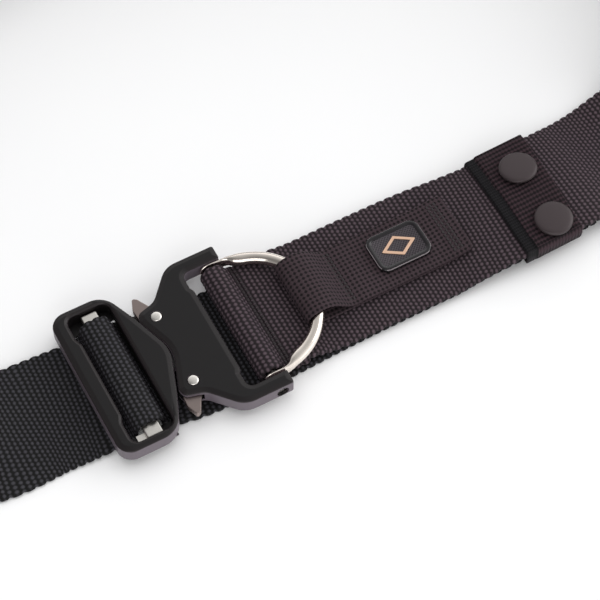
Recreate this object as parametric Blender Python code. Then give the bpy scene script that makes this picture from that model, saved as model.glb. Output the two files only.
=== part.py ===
"""Webbing belt with a two-part quick-release buckle, lying with the buckle's face up.

The origin is on the floor under the middle of the buckle. +X runs along the belt's front
towards the snap keeper, +Y points to the inside of the loop and +Z is up. Sizes in the
tables and constants are millimetres and are turned into metres as the meshes are made.
"""

import math

import bmesh
import bpy
from mathutils import Vector

MM = 0.001

# Webbing
BELT_WIDTH = 49.6
BELT_WRAP_WIDTH = 49.0
BELT_THICK = 2.2
STRAP_WIDTH = 48.0
STRAP_LEFT_WIDTH = 48.6
STRAP_TAIL_WIDTH = 46.4
KEEPER_BAND_WIDTH = 47.4
STRAP_THICK = 1.8
RING_KEEPER_WIDTH = 26.5
RING_KEEPER_THICK = 1.2
RING_KEEPER_Y = 0.7
RING_KEEPER_SKEW = 0.0185
EDGE_ROUND = 0.6
NARROW_BAND = 30.0
GAP = 0.3
WRAP_CLEARANCE = 0.7

# Buckle halves; BUCKLE_X moves their outlines along the belt
BUCKLE_X = 0.5
FRAME_Y = 1.5
BODY_Y = 0.5
SEAM = 0.6
NOSE_X = -8.2
BUCKLE_BOTTOM = 4.4
BUCKLE_TOP = 12.0
TOP_CHAMFER = 0.8
BOTTOM_CHAMFER = 1.1
ARC_STEP = math.radians(15.0)
CUTTER_REACH = 3.0
DRILL_LENGTH = 20.0
BAR_DRILL_LENGTH = 80.0

# Pocket between the plates of the receiving half, with the tongue and the levers in it
POCKET_LOW = 6.5
POCKET_HIGH = 9.9
TONGUE_LOW = POCKET_LOW + GAP
TONGUE_HIGH = POCKET_HIGH - GAP
RIVET_X = -7.0 + BUCKLE_X
RIVET_Y = 15.0
RIVET_SHAFT_R = 1.3
RIVET_HEAD_R = 2.1
RIVET_HEAD_THICK = 0.8
RIVET_CROWN = 0.18
PIVOT_PLAY = 0.08

# Cross bar and ring
BAR_X = 20.4 + BUCKLE_X
BAR_Z = 7.5
BAR_R = 2.1
BAR_HALF_LENGTH = 31.4
ARM_INNER_Y = 26.9
ARM_OUTER_Y = 32.7
RING_WIRE = 4.8
RING_SIDES = 12
TAB_SQUARENESS = 0.18
TAB_THICK = 1.5
TAB_HEIGHT = 8.0
TAB_Y = ARM_INNER_Y - GAP - TAB_THICK / 2

# Slot of the insert half, with the slide bar in it
SLOT_LEFT = -35.9
SLOT_RIGHT = -20.3
SLOT_HALF = 28.7
SLIDE_LEFT = -31.0
SLIDE_RIGHT = -24.5
SLIDE_ROUND = 0.9
SLIDE_LOW = 6.9
SLIDE_HIGH = 9.7
SLIDE_HALF = 28.3
FOOT_LEFT = -34.9
FOOT_RIGHT = -25.2
FOOT_NEAR = 25.0
FOOT_LOW = 5.5
FOOT_HIGH = 8.2
LEDGE_NEAR = 24.7
LEDGE_FAR = 30.0
LEDGE_LOW = BUCKLE_BOTTOM + 0.1
LEDGE_HIGH = FOOT_LOW - GAP

# Snap keeper
KEEPER_LEFT = 128.2
KEEPER_STEP = 133.2
KEEPER_RIGHT = 154.8
KEEPER_LAYER = 1.3
KEEPER_SECOND_LAYER = 0.7
KEEPER_Y = -1.2
KEEPER_TURN = 0.03
KEEPER_LEFT_CUT = 0.9
KEEPER_RIGHT_CUT = 2.2
KEEPER_DIP = 3.0
CAP_X = 144.0
CAP_RADIUS = 7.4
CAP_HEIGHT = 3.2
DIP_START = -5.0
DIP_SPAN = 30.0

# Badge and the lozenge on it
BADGE_CENTRE = (87.9, 1.4)
BADGE_SIZE = (22.5, 16.5)
BADGE_THICK = 1.5
BADGE_RIM = 1.5
BADGE_RIM_RISE = 0.5
BADGE_CORNER = 3.0
MARK_HALF_X = 7.4
MARK_HALF_Y = 4.6
MARK_LINE = 1.15
MARK_THICK = 0.3
KEEPER_LAYER_STEP = RING_KEEPER_THICK + GAP

# Heights of the stack on the floor
BELT_LIFT = STRAP_THICK + GAP
KEEPER_TAIL_LIFT = KEEPER_LAYER + GAP
KEEPER_BELT_LIFT = KEEPER_TAIL_LIFT + STRAP_THICK + GAP
BADGE_LOW = BELT_LIFT + BELT_THICK + 2 * GAP + KEEPER_LAYER_STEP + RING_KEEPER_THICK + 0.1

# The loop past both ends of the straight front, anticlockwise seen from above.
# The roll turns the band from lying flat (0) to standing on its outer edge (90 degrees).
LOOP_ROWS = [
    # x, y, roll
    (188.0, 2.2, 2.0),
    (211.0, 6.3, 11.0),
    (233.0, 16.0, 37.0),
    (251.0, 33.0, 66.0),
    (262.5, 57.0, 85.0),
    (265.5, 88.0, 90.0),
    (258.0, 121.0, 90.0),
    (240.0, 150.0, 90.0),
    (212.0, 173.0, 90.0),
    (176.0, 189.0, 90.0),
    (134.0, 198.0, 90.0),
    (90.0, 202.0, 90.0),
    (45.0, 202.0, 90.0),
    (0.0, 197.0, 90.0),
    (-43.0, 187.0, 90.0),
    (-82.0, 170.0, 90.0),
    (-115.0, 145.0, 90.0),
    (-137.0, 114.0, 90.0),
    (-145.5, 82.0, 90.0),
    (-141.5, 54.0, 84.0),
    (-132.0, 33.0, 66.0),
    (-118.5, 17.0, 40.0),
    (-101.0, 7.3, 17.0),
]
RETURN_LAYER_X = (37.0, 32.0, 26.0)
SPLICE_FROM_ROW = 13
SPLICE_TO_ROW = 14
SPLICE_SHIFT = (BELT_THICK + STRAP_THICK) / 2 + GAP

# Sampling of the bands: short spans between rows are bends
BEND_SPAN = 7.0
BEND_STEP = 1.5
RUN_STEP = 13.0

# The belt from the far side of its wrap to the far side of the snap keeper; the lift is the
# height of its underside and the dip is how far its far edge hangs below its near part
BELT_FRONT_ROWS = [
    # x, y, lift, dip, width
    (27.1, BODY_Y, 4.8, 0.0, BELT_WRAP_WIDTH),
    (31.5, BODY_Y, 4.65, 0.0, BELT_WRAP_WIDTH),
    (38.0, BODY_Y, 4.6, 0.0, BELT_WRAP_WIDTH),
    (44.5, 0.5, 3.1, 0.0, BELT_WIDTH),
    (51.0, 0.4, BELT_LIFT, 0.0, BELT_WIDTH),
    (75.0, 0.3, BELT_LIFT, 0.0, BELT_WIDTH),
    (100.0, -0.1, BELT_LIFT, 0.0, BELT_WIDTH),
    (115.0, -1.0, 2.9, 1.7, KEEPER_BAND_WIDTH + 0.8),
    (128.0, KEEPER_Y - 16.0 * KEEPER_TURN, KEEPER_BELT_LIFT, KEEPER_DIP, KEEPER_BAND_WIDTH),
    (144.0, KEEPER_Y, KEEPER_BELT_LIFT, KEEPER_DIP, KEEPER_BAND_WIDTH),
    (161.0, KEEPER_Y + 17.0 * KEEPER_TURN, KEEPER_BELT_LIFT, KEEPER_DIP, KEEPER_BAND_WIDTH),
    (174.0, 0.4, 1.5, 1.2, 48.8),
]

# The strap climbs over the slide bar and runs on as the tail
STRAP_FRONT_ROWS = [
    # x, y, lift, dip, roll, width
    (-80.0, 2.5, 0.0, 0.0, 6.0, STRAP_LEFT_WIDTH),
    (-60.0, 2.4, 0.0, 0.0, 1.0, STRAP_LEFT_WIDTH),
    (-48.0, 1.8, 0.6, 0.0, 0.0, STRAP_LEFT_WIDTH),
    (-40.5, 1.8, 1.0, 0.0, 0.0, STRAP_WIDTH),
    (-37.1, 1.8, 1.3, 0.0, 0.0, STRAP_WIDTH),
    (-34.6, 1.8, 2.5, 0.0, 0.0, STRAP_WIDTH),
    (-33.3, 1.8, 4.7, 0.0, 0.0, STRAP_WIDTH),
    (-32.7, 1.8, 7.7, 0.0, 0.0, STRAP_WIDTH),
    (-31.5, 1.8, 9.6, 0.0, 0.0, STRAP_WIDTH),
    (-29.3, 1.8, 10.3, 0.0, 0.0, STRAP_WIDTH),
    (-26.2, 1.8, 10.3, 0.0, 0.0, STRAP_WIDTH),
    (-24.0, 1.8, 9.6, 0.0, 0.0, STRAP_WIDTH),
    (-22.8, 1.8, 8.0, 0.0, 0.0, STRAP_WIDTH),
    (-22.2, 1.8, 5.2, 0.0, 0.0, STRAP_WIDTH),
    (-21.3, 1.8, 2.7, 0.0, 0.0, STRAP_WIDTH),
    (-19.1, 1.8, 1.0, 0.0, 0.0, STRAP_WIDTH),
    (-13.5, 1.5, 0.3, 0.0, 0.0, STRAP_WIDTH),
    (-6.0, 0.0, 0.0, 0.0, 0.0, STRAP_WIDTH),
    (20.0, -1.3, 0.0, 0.0, 0.0, STRAP_WIDTH),
    (51.0, -0.5, 0.0, 0.0, 0.0, STRAP_WIDTH),
    (75.0, -0.1, 0.0, 0.0, 0.0, STRAP_WIDTH),
    (100.0, -0.1, 0.0, 0.0, 0.0, STRAP_WIDTH),
    (115.0, -1.0, 0.7, 1.7, 0.0, STRAP_TAIL_WIDTH),
    (128.0, KEEPER_Y - 16.0 * KEEPER_TURN, KEEPER_TAIL_LIFT, KEEPER_DIP, 0.0, STRAP_TAIL_WIDTH),
    (144.0, KEEPER_Y, KEEPER_TAIL_LIFT, KEEPER_DIP, 0.0, STRAP_TAIL_WIDTH),
    (159.5, KEEPER_Y + 15.5 * KEEPER_TURN, KEEPER_TAIL_LIFT, KEEPER_DIP, 0.0, STRAP_TAIL_WIDTH),
]

# The insert half seen from above, upper side; the lower side mirrors it
FRAME_HALF = [
    # x, y, corner radius
    (NOSE_X, 0.0, 14.0),
    (-14.2, 17.2, 1.5),
    (-20.5, 31.8, 9.0),
    (-42.9, 31.8, 6.0),
]
SLOT_HALF_OUTLINE = [
    # x, y, corner radius
    (SLOT_RIGHT, SLOT_HALF, 3.5),
    (SLOT_LEFT - 1.2, SLOT_HALF, 3.0),
    (SLOT_LEFT - 1.2, 19.5, 1.0),
    (SLOT_LEFT, 16.5, 1.5),
]
TONGUE_HALF = [
    # x, y, corner radius
    (5.4, 3.6, 0.8),
    (3.9, 6.3, 0.5),
    (2.1, 4.6, 0.0),
    (-1.3, 4.6, 0.0),
    (-1.3, 6.3, 0.4),
    (-12.0, 6.3, 0.0),
]
BODY_HALF = [
    # x, y, corner radius
    (NOSE_X + SEAM, 0.0, 14.4),
    (-13.3, 15.8, 0.8),
    (-12.6, 19.2, 2.6),
    (-5.0, 21.3, 7.0),
    (5.2, ARM_OUTER_Y, 9.0),
    (25.0, ARM_OUTER_Y, 0.9),
    (25.0, ARM_INNER_Y, 0.6),
    (9.4, ARM_INNER_Y, 2.8),
    (9.4, 20.3, 0.6),
    (10.3, 18.3, 0.8),
]
POCKET_HALF = [
    # x, y
    (-18.0, 26.0),
    (-6.3, 26.0),
    (-6.3, 21.8),
    (-3.4, 19.4),
    (6.9, 19.4),
]
LEVER_OUTLINE = [
    # x, y, corner radius, upper lever
    (-12.9, 18.6, 0.5),
    (-10.6, 13.4, 2.0),
    (-6.6, 10.9, 2.0),
    (-1.4, 7.6, 0.8),
    (-0.6, 5.2, 0.3),
    (1.6, 5.2, 0.3),
    (2.3, 9.6, 1.2),
    (-2.7, 12.6, 1.5),
    (-4.8, 18.0, 1.5),
    (-7.3, 22.0, 1.0),
    (-9.6, 26.2, 1.2),
    (-11.3, 27.3, 0.8),
    (-13.2, 22.6, 2.5),
]

# The ring from the tip of its flattened end to the middle of its bend, upper side
RING_HALF_ROWS = [
    # x, y, z, thickness, height
    (17.0, TAB_Y, 7.5, TAB_THICK, 3.0),
    (17.7, TAB_Y, 7.5, TAB_THICK, 5.6),
    (19.1, TAB_Y, 7.5, TAB_THICK, 7.4),
    (20.9, TAB_Y, 7.6, TAB_THICK, TAB_HEIGHT),
    (23.1, TAB_Y, 7.8, TAB_THICK, 7.3),
    (25.7, TAB_Y - 0.1, 8.4, TAB_THICK, 5.8),
    (28.1, TAB_Y - 0.6, 9.1, 2.4, 4.7),
    (29.9, TAB_Y - 1.6, 9.6, 4.0, RING_WIRE),
    (32.0, 23.4, 9.8, RING_WIRE, RING_WIRE),
    (35.2, 22.2, 9.9, RING_WIRE, RING_WIRE),
    (38.6, 20.4, 10.1, RING_WIRE, RING_WIRE),
    (42.0, 17.8, 10.3, RING_WIRE, RING_WIRE),
    (44.9, 14.5, 10.5, RING_WIRE, RING_WIRE),
    (47.3, 10.5, 10.7, RING_WIRE, RING_WIRE),
    (49.0, 5.5, 10.8, RING_WIRE, RING_WIRE),
    (49.6, 0.0, 10.9, RING_WIRE, RING_WIRE),
]

# The keeper strap round the ring: out on the belt, round the wire and back over itself
RING_KEEPER_ROWS = [
    # x, lift above the belt's own lift or the floor, dip, on the belt
    (114.0, GAP, 1.6, 1.0),
    (100.0, GAP, 0.0, 1.0),
    (75.0, GAP, 0.0, 1.0),
    (57.0, GAP, 0.0, 1.0),
    (51.5, 4.75, 0.0, 0.0),
    (46.8, 5.55, 0.0, 0.0),
    (44.1, 6.5, 0.0, 0.0),
    (42.3, 8.2, 0.0, 0.0),
    (42.0, 10.2, 0.0, 0.0),
    (43.2, 12.2, 0.0, 0.0),
    (45.9, 13.5, 0.0, 0.0),
    (49.9, 13.8, 0.0, 0.0),
    (53.9, 12.4, 0.0, 0.0),
    (57.4, 9.8, 0.0, 0.0),
    (61.6, 7.2, 0.0, 0.0),
    (67.0, GAP + KEEPER_LAYER_STEP + 0.05, 0.0, 1.0),
    (75.0, GAP + KEEPER_LAYER_STEP, 0.0, 1.0),
    (100.0, GAP + KEEPER_LAYER_STEP, 0.0, 1.0),
    (114.5, GAP + KEEPER_LAYER_STEP, 1.65, 1.0),
]

MATERIALS = {
    # name: red, green, blue, roughness, metallic
    "belt_webbing": (0.040, 0.031, 0.045, 0.85, 0.0),
    "strap_webbing": (0.026, 0.030, 0.031, 0.85, 0.0),
    "keeper_webbing": (0.070, 0.060, 0.056, 0.85, 0.0),
    "snap_webbing": (0.032, 0.024, 0.026, 0.85, 0.0),
    "black_anodised": (0.018, 0.020, 0.019, 0.45, 0.3),
    "lever_bronze": (0.30, 0.26, 0.23, 0.40, 0.9),
    "bright_steel": (0.80, 0.79, 0.77, 0.22, 1.0),
    "polished_nickel": (0.85, 0.80, 0.74, 0.12, 1.0),
    "gunmetal_cap": (0.10, 0.085, 0.088, 0.45, 0.6),
    "badge_rubber": (0.028, 0.027, 0.034, 0.60, 0.0),
    "rose_gold": (0.80, 0.52, 0.38, 0.35, 0.7),
}


def clear_scene():
    """Remove every object that the open file holds."""
    for obj in list(bpy.data.objects):
        bpy.data.objects.remove(obj, do_unlink=True)


def make_material(name):
    """Return the named finish as a Principled material."""
    material = bpy.data.materials.get(name) or bpy.data.materials.new(name)
    red, green, blue, roughness, metallic = MATERIALS[name]
    material.use_nodes = True
    shader = material.node_tree.nodes["Principled BSDF"]
    shader.inputs["Base Color"].default_value = (red, green, blue, 1.0)
    shader.inputs["Roughness"].default_value = roughness
    shader.inputs["Metallic"].default_value = metallic
    material.diffuse_color = (red, green, blue, 1.0)
    return material


def object_from_bmesh(name, bm, material):
    """Turn a bmesh in millimetres into a named object in metres."""
    bmesh.ops.recalc_face_normals(bm, faces=bm.faces)
    bmesh.ops.scale(bm, vec=(MM, MM, MM), verts=bm.verts)
    mesh = bpy.data.meshes.new(name)
    bm.to_mesh(mesh)
    bm.free()
    mesh.shade_smooth()
    mesh.set_sharp_from_angle(angle=math.radians(35.0))
    mesh.materials.append(make_material(material))
    obj = bpy.data.objects.new(name, mesh)
    bpy.context.collection.objects.link(obj)
    return obj


def cut(obj, cutter, operation="DIFFERENCE"):
    """Apply a boolean with another object, which stays only as a hidden guide."""
    modifier = obj.modifiers.new(operation.lower(), "BOOLEAN")
    modifier.operation = operation
    modifier.object = cutter
    modifier.solver = "EXACT"
    depsgraph = bpy.context.evaluated_depsgraph_get()
    mesh = bpy.data.meshes.new_from_object(obj.evaluated_get(depsgraph))
    obj.modifiers.clear()
    old = obj.data
    obj.data = mesh
    mesh.name = obj.name
    bpy.data.meshes.remove(old)
    bpy.data.objects.remove(cutter, do_unlink=True)


def rounded_outline(corners):
    """Return the points of a closed outline whose corners (x, y, radius) are arcs."""
    points = []
    count = len(corners)
    for index, (x, y, radius) in enumerate(corners):
        corner = Vector((x, y))
        before = Vector(corners[index - 1][:2]) - corner
        after = Vector(corners[(index + 1) % count][:2]) - corner
        if radius <= 0.0:
            points.append((x, y))
            continue
        before.normalize()
        after.normalize()
        half = math.acos(max(-1.0, min(1.0, before.dot(after)))) / 2
        tangent = radius / math.tan(half)
        centre = corner + (before + after).normalized() * (radius / math.sin(half))
        start = corner + before * tangent - centre
        turn = math.pi - 2 * half
        sign = 1.0 if before.x * after.y - before.y * after.x < 0 else -1.0
        steps = max(1, math.ceil(turn / ARC_STEP))
        for step in range(steps + 1):
            angle = sign * turn * step / steps
            cos_a, sin_a = math.cos(angle), math.sin(angle)
            points.append((centre.x + start.x * cos_a - start.y * sin_a,
                           centre.y + start.x * sin_a + start.y * cos_a))
    return points


def mirrored(half):
    """Close a half outline of rows (x, y, ...) by its mirror image across y = 0."""
    lower = [(row[0], -row[1], *row[2:]) for row in reversed(half) if row[1] > 0.0]
    return list(half) + lower


def plate(name, outline, low, high, material, top_chamfer=0.0, bottom_chamfer=0.0):
    """Extrude an outline between two heights, with chamfered upper and lower rims."""
    bm = bmesh.new()
    verts = [bm.verts.new((x, y, low)) for x, y in outline]
    bottom = bm.faces.new(verts)
    raised = bmesh.ops.extrude_face_region(bm, geom=[bottom])["geom"]
    top_verts = [item for item in raised if isinstance(item, bmesh.types.BMVert)]
    bmesh.ops.translate(bm, vec=(0.0, 0.0, high - low), verts=top_verts)
    bmesh.ops.recalc_face_normals(bm, faces=bm.faces)
    for chamfer, height in ((top_chamfer, high), (bottom_chamfer, low)):
        if chamfer <= 0.0:
            continue
        rim = [edge for edge in bm.edges
               if all(abs(vert.co.z - height) < 1e-6 for vert in edge.verts)]
        bmesh.ops.bevel(bm, geom=rim, offset=chamfer, offset_type="OFFSET", segments=2,
                        profile=0.5, affect="EDGES", clamp_overlap=True)
    return object_from_bmesh(name, bm, material)


def cylinder(name, centre, axis, radius, length, sides, material="bright_steel"):
    """Make a cylinder round a point, along X, Y or Z."""
    bm = bmesh.new()
    bmesh.ops.create_cone(bm, cap_ends=True, segments=sides, radius1=radius, radius2=radius,
                          depth=length)
    turn = {"X": Vector((1, 0, 0)), "Y": Vector((0, 1, 0)), "Z": Vector((0, 0, 1))}[axis]
    rotation = Vector((0, 0, 1)).rotation_difference(turn)
    bmesh.ops.rotate(bm, cent=(0, 0, 0), matrix=rotation.to_matrix(), verts=bm.verts)
    bmesh.ops.translate(bm, vec=centre, verts=bm.verts)
    return object_from_bmesh(name, bm, material)


def box(name, low, high, material="bright_steel"):
    """Make a box between two corners."""
    bm = bmesh.new()
    bmesh.ops.create_cube(bm, size=1.0)
    size = [b - a for a, b in zip(low, high)]
    middle = [(a + b) / 2 for a, b in zip(low, high)]
    bmesh.ops.scale(bm, vec=size, verts=bm.verts)
    bmesh.ops.translate(bm, vec=middle, verts=bm.verts)
    return object_from_bmesh(name, bm, material)


def turned(name, profile, centre, tilt, sides, material):
    """Spin a profile of (radius, height) rows round Z, then tilt it about X and place it."""
    bm = bmesh.new()
    rings = []
    for radius, height in profile:
        if radius <= 0.0:
            rings.append([bm.verts.new((0.0, 0.0, height))])
            continue
        rings.append([bm.verts.new((radius * math.cos(2 * math.pi * side / sides),
                                    radius * math.sin(2 * math.pi * side / sides), height))
                      for side in range(sides)])
    for lower, upper in zip(rings, rings[1:]):
        for side in range(sides):
            following = (side + 1) % sides
            quad = [lower[side % len(lower)], lower[following % len(lower)],
                    upper[following % len(upper)], upper[side % len(upper)]]
            bm.faces.new(list(dict.fromkeys(quad)))
    for ring in (rings[0], rings[-1]):
        if len(ring) > 1:
            bm.faces.new(ring)
    rotation = Vector((0, 0, 1)).rotation_difference(
        Vector((0.0, -math.sin(tilt), math.cos(tilt))))
    bmesh.ops.rotate(bm, cent=(0, 0, 0), matrix=rotation.to_matrix(), verts=bm.verts)
    bmesh.ops.translate(bm, vec=centre, verts=bm.verts)
    return object_from_bmesh(name, bm, material)


def spline(rows, first, last):
    """Sample a smooth curve from row first to row last.

    Each sample is its position in the table and the row read there. The first three
    columns are a place, and the rows outside the range only shape the ends.
    """
    samples = []
    for index in range(first, last):
        p0 = rows[max(index - 1, 0)]
        p1, p2 = rows[index], rows[index + 1]
        p3 = rows[min(index + 2, len(rows) - 1)]
        span = math.dist(p1[:3], p2[:3])
        gaps = (math.dist(p0[:3], p1[:3]) ** 0.5, span ** 0.5, math.dist(p2[:3], p3[:3]) ** 0.5)
        steps = max(1, round(span / (BEND_STEP if span < BEND_SPAN else RUN_STEP)))
        for step in range(steps):
            part = step / steps
            samples.append((index + part, [centripetal(column, gaps, part)
                                           for column in zip(p0, p1, p2, p3)]))
    samples.append((float(last), list(rows[last])))
    return samples


def centripetal(values, gaps, position):
    """Read a centripetal Catmull-Rom curve between its second and third value."""
    v0, v1, v2, v3 = values
    d1, d2, d3 = gaps
    slope1 = slope2 = (v2 - v1) / d2
    if d1 > 0.01:
        slope1 = (v1 - v0) / d1 - (v2 - v0) / (d1 + d2) + (v2 - v1) / d2
    if d3 > 0.01:
        slope2 = (v2 - v1) / d2 - (v3 - v1) / (d2 + d3) + (v3 - v2) / d3
    m1, m2 = slope1 * d2, slope2 * d2
    t = position
    return ((2 * t ** 3 - 3 * t ** 2 + 1) * v1 + (t ** 3 - 2 * t ** 2 + t) * m1
            + (3 * t ** 2 - 2 * t ** 3) * v2 + (t ** 3 - t ** 2) * m2)


def dip_rise(across, dip):
    """Return how far the near side of a dipped band stands above its far edge's level."""
    reach = max(0.0, across - DIP_START) / DIP_SPAN
    return dip * (1.0 - reach * reach)


def band_section(width, thick, dip):
    """Return one cross-section as (across, along the normal) points, edges rounded."""
    half = width / 2
    inner = half - EDGE_ROUND
    columns = (-inner, 0.0, inner)
    if width > NARROW_BAND:
        columns = (-inner, -inner / 2, 0.0, inner / 2, inner)
    upper = [(v, thick / 2) for v in columns]
    lower = [(v, -thick / 2) for v in reversed(columns)]
    ring = upper + [(half, 0.0)] + lower + [(-half, 0.0)]
    return [(v, n + dip_rise(v, dip)) for v, n in ring]


def band(name, stations, thick, material):
    """Sweep a webbing section along stations of (x, y, lift, roll, dip, width)."""
    bm = bmesh.new()
    places = []
    for x, y, lift, roll, _, width in stations:
        angle = math.radians(roll)
        height = lift + thick / 2 * math.cos(angle) + width / 2 * math.sin(angle)
        places.append(Vector((x, y, height)))
    rings = []
    for index, row in enumerate(stations):
        ahead = places[min(index + 1, len(places) - 1)]
        behind = places[max(index - 1, 0)]
        forward = (ahead - behind).normalized()
        roll = math.radians(row[3])
        level = Vector((-forward.y, forward.x, 0.0))
        if abs(roll) < 0.02 and forward.x < 0.5:
            level = Vector((0.0, 1.0, 0.0))
        level.normalize()
        across = level * math.cos(roll) + Vector((0.0, 0.0, math.sin(roll)))
        across = (across - forward * across.dot(forward)).normalized()
        normal = forward.cross(across)
        section = band_section(row[5], thick, math.copysign(row[4], normal.z))
        rings.append([bm.verts.new(places[index] + across * v + normal * n)
                      for v, n in section])
    sides = len(rings[0])
    for first, second in zip(rings, rings[1:]):
        for side in range(sides):
            following = (side + 1) % sides
            bm.faces.new((first[side], first[following], second[following], second[side]))
    bm.faces.new(rings[0])
    bm.faces.new(list(reversed(rings[-1])))
    return object_from_bmesh(name, bm, material)


def loop_rows(first, last, width):
    """Return the rows of the loop from first to last as rows of a band of this width."""
    return [(x, y, 0.0, roll, 0.0, width) for x, y, roll in LOOP_ROWS[first:last + 1]]


def splice_shift(samples, index, start_row):
    """Move a sample outwards, past the other band, as the table's start row is reached."""
    position, row = samples[index]
    part = max(0.0, min(1.0, position - start_row + 1.0))
    if part <= 0.0:
        return row
    ahead = samples[min(index + 1, len(samples) - 1)][1]
    behind = samples[index - 1][1]
    run = Vector((ahead[0] - behind[0], ahead[1] - behind[1])).normalized()
    reach = SPLICE_SHIFT * part * part * (3.0 - 2.0 * part)
    return [row[0] + run.y * reach, row[1] - run.x * reach, *row[2:]]


def make_main_belt():
    """Belt from its return under the wrap, round the bar, along the front and round the back."""
    wrap_radius = BAR_R + WRAP_CLEARANCE + BELT_THICK / 2
    middle = BODY_Y
    wide = BELT_WRAP_WIDTH
    rows = [(x, middle, BELT_LIFT, 0.0, 0.0, wide) for x in RETURN_LAYER_X]
    for degrees in range(-90, -331, -30):
        angle = math.radians(degrees)
        rows.append((BAR_X - 0.1 + wrap_radius * math.cos(angle), middle,
                     BAR_Z + wrap_radius * math.sin(angle) - BELT_THICK / 2, 0.0, 0.0, wide))
    rows.append((BAR_X + wrap_radius, middle, BAR_Z - 0.9, 0.0, 0.0, wide))
    rows += [(x, y, lift, 0.0, dip, width) for x, y, lift, dip, width in BELT_FRONT_ROWS]
    before_loop = len(rows)
    rows += loop_rows(0, SPLICE_TO_ROW + 1, BELT_WIDTH)
    samples = spline(rows, 0, before_loop + SPLICE_TO_ROW)
    start_row = before_loop + SPLICE_FROM_ROW
    stations = [splice_shift(samples, index, start_row) for index in range(len(samples))]
    return band("main_belt", stations, BELT_THICK, "belt_webbing")


def make_adjusting_strap():
    """Strap from the splice round the left side, over the slide bar and on as the tail."""
    rows = loop_rows(SPLICE_FROM_ROW - 1, len(LOOP_ROWS) - 1, STRAP_WIDTH)
    rows += [(x, y, lift, roll, dip, width)
             for x, y, lift, dip, roll, width in STRAP_FRONT_ROWS]
    stations = [row for _, row in spline(rows, 1, len(rows) - 1)]
    return band("adjusting_strap", stations, STRAP_THICK, "strap_webbing")


def make_male_frame():
    """Insert half: slotted frame with a ledge at each end of the slot, a nose and a tongue."""
    outline = shifted(rounded_outline(mirrored(FRAME_HALF)), FRAME_Y)
    frame = plate("male_frame", outline, BUCKLE_BOTTOM, BUCKLE_TOP, "black_anodised",
                  TOP_CHAMFER, BOTTOM_CHAMFER)
    slot = plate("slot_cutter", shifted(rounded_outline(mirrored(SLOT_HALF_OUTLINE)), FRAME_Y),
                 BUCKLE_BOTTOM - CUTTER_REACH, BUCKLE_TOP + CUTTER_REACH, "black_anodised")
    cut(frame, slot)
    for side in (-1.0, 1.0):
        near, far = FRAME_Y + side * LEDGE_NEAR, FRAME_Y + side * LEDGE_FAR
        ledge = box("ledge", (SLOT_LEFT, min(near, far), LEDGE_LOW),
                    (SLOT_RIGHT + BUCKLE_X + 0.2, max(near, far), LEDGE_HIGH), "black_anodised")
        cut(frame, ledge, "UNION")
    tongue = plate("tongue", shifted(rounded_outline(mirrored(TONGUE_HALF)), BODY_Y),
                   TONGUE_LOW, TONGUE_HIGH, "black_anodised")
    cut(frame, tongue, "UNION")
    return frame


def make_slide_bar():
    """Flat bright bar across the slot, with a wider foot at each end."""
    bar = box("slide_bar", (SLIDE_LEFT, FRAME_Y - SLIDE_HALF, SLIDE_LOW),
              (SLIDE_RIGHT, FRAME_Y + SLIDE_HALF, SLIDE_HIGH))
    bm = bmesh.new()
    bm.from_mesh(bar.data)
    along = [edge for edge in bm.edges
             if abs(edge.verts[0].co.y - edge.verts[1].co.y) > SLIDE_HALF * MM]
    bmesh.ops.bevel(bm, geom=along, offset=SLIDE_ROUND * MM, offset_type="OFFSET", segments=3,
                    profile=0.5, affect="EDGES", clamp_overlap=True)
    bm.to_mesh(bar.data)
    bm.free()
    for side in (-1.0, 1.0):
        near = FRAME_Y + side * FOOT_NEAR
        far = FRAME_Y + side * (SLIDE_HALF - 0.1)
        foot = box("foot", (FOOT_LEFT, min(near, far), FOOT_LOW),
                   (FOOT_RIGHT, max(near, far), FOOT_HIGH))
        cut(bar, foot, "UNION")
    return bar


def make_buckle_body():
    """Receiving half: two plates with a pocket between them, and two arms for the cross bar."""
    outline = shifted(rounded_outline(mirrored(BODY_HALF)), BODY_Y)
    body = plate("buckle_body", outline, BUCKLE_BOTTOM, BUCKLE_TOP, "black_anodised",
                 TOP_CHAMFER, BOTTOM_CHAMFER)
    pocket = plate("pocket_cutter", shifted(mirrored(POCKET_HALF), BODY_Y), POCKET_LOW,
                   POCKET_HIGH, "black_anodised")
    cut(body, pocket)
    bore = cylinder("bar_bore", (BAR_X, BODY_Y, BAR_Z), "Y", BAR_R + GAP, BAR_DRILL_LENGTH, 16)
    cut(body, bore)
    for side in (-1.0, 1.0):
        place = (RIVET_X, BODY_Y + side * RIVET_Y, 8.0)
        cut(body, cylinder("rivet_bore", place, "Z", RIVET_SHAFT_R + GAP, DRILL_LENGTH, 16))
        for height in (BUCKLE_TOP, BUCKLE_BOTTOM):
            seat = (place[0], place[1], height)
            cut(body, cylinder("rivet_seat", seat, "Z", RIVET_HEAD_R + GAP,
                               2 * (RIVET_HEAD_THICK + GAP), 24))
    return body


def make_rivet(name, side):
    """Rivet with a shallow crowned head in each plate of the body."""
    low_head = BUCKLE_BOTTOM + RIVET_HEAD_THICK
    high_head = BUCKLE_TOP - RIVET_HEAD_THICK
    profile = [(RIVET_HEAD_R - 0.3, BUCKLE_BOTTOM), (RIVET_HEAD_R, BUCKLE_BOTTOM + 0.3),
               (RIVET_HEAD_R, low_head), (RIVET_SHAFT_R, low_head), (RIVET_SHAFT_R, high_head),
               (RIVET_HEAD_R, high_head), (RIVET_HEAD_R, BUCKLE_TOP - 0.25),
               (RIVET_HEAD_R - 0.3, BUCKLE_TOP), (0.0, BUCKLE_TOP + RIVET_CROWN)]
    return turned(name, profile, (RIVET_X, BODY_Y + side * RIVET_Y, 0.0), 0.0, 20,
                  "bright_steel")


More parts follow.
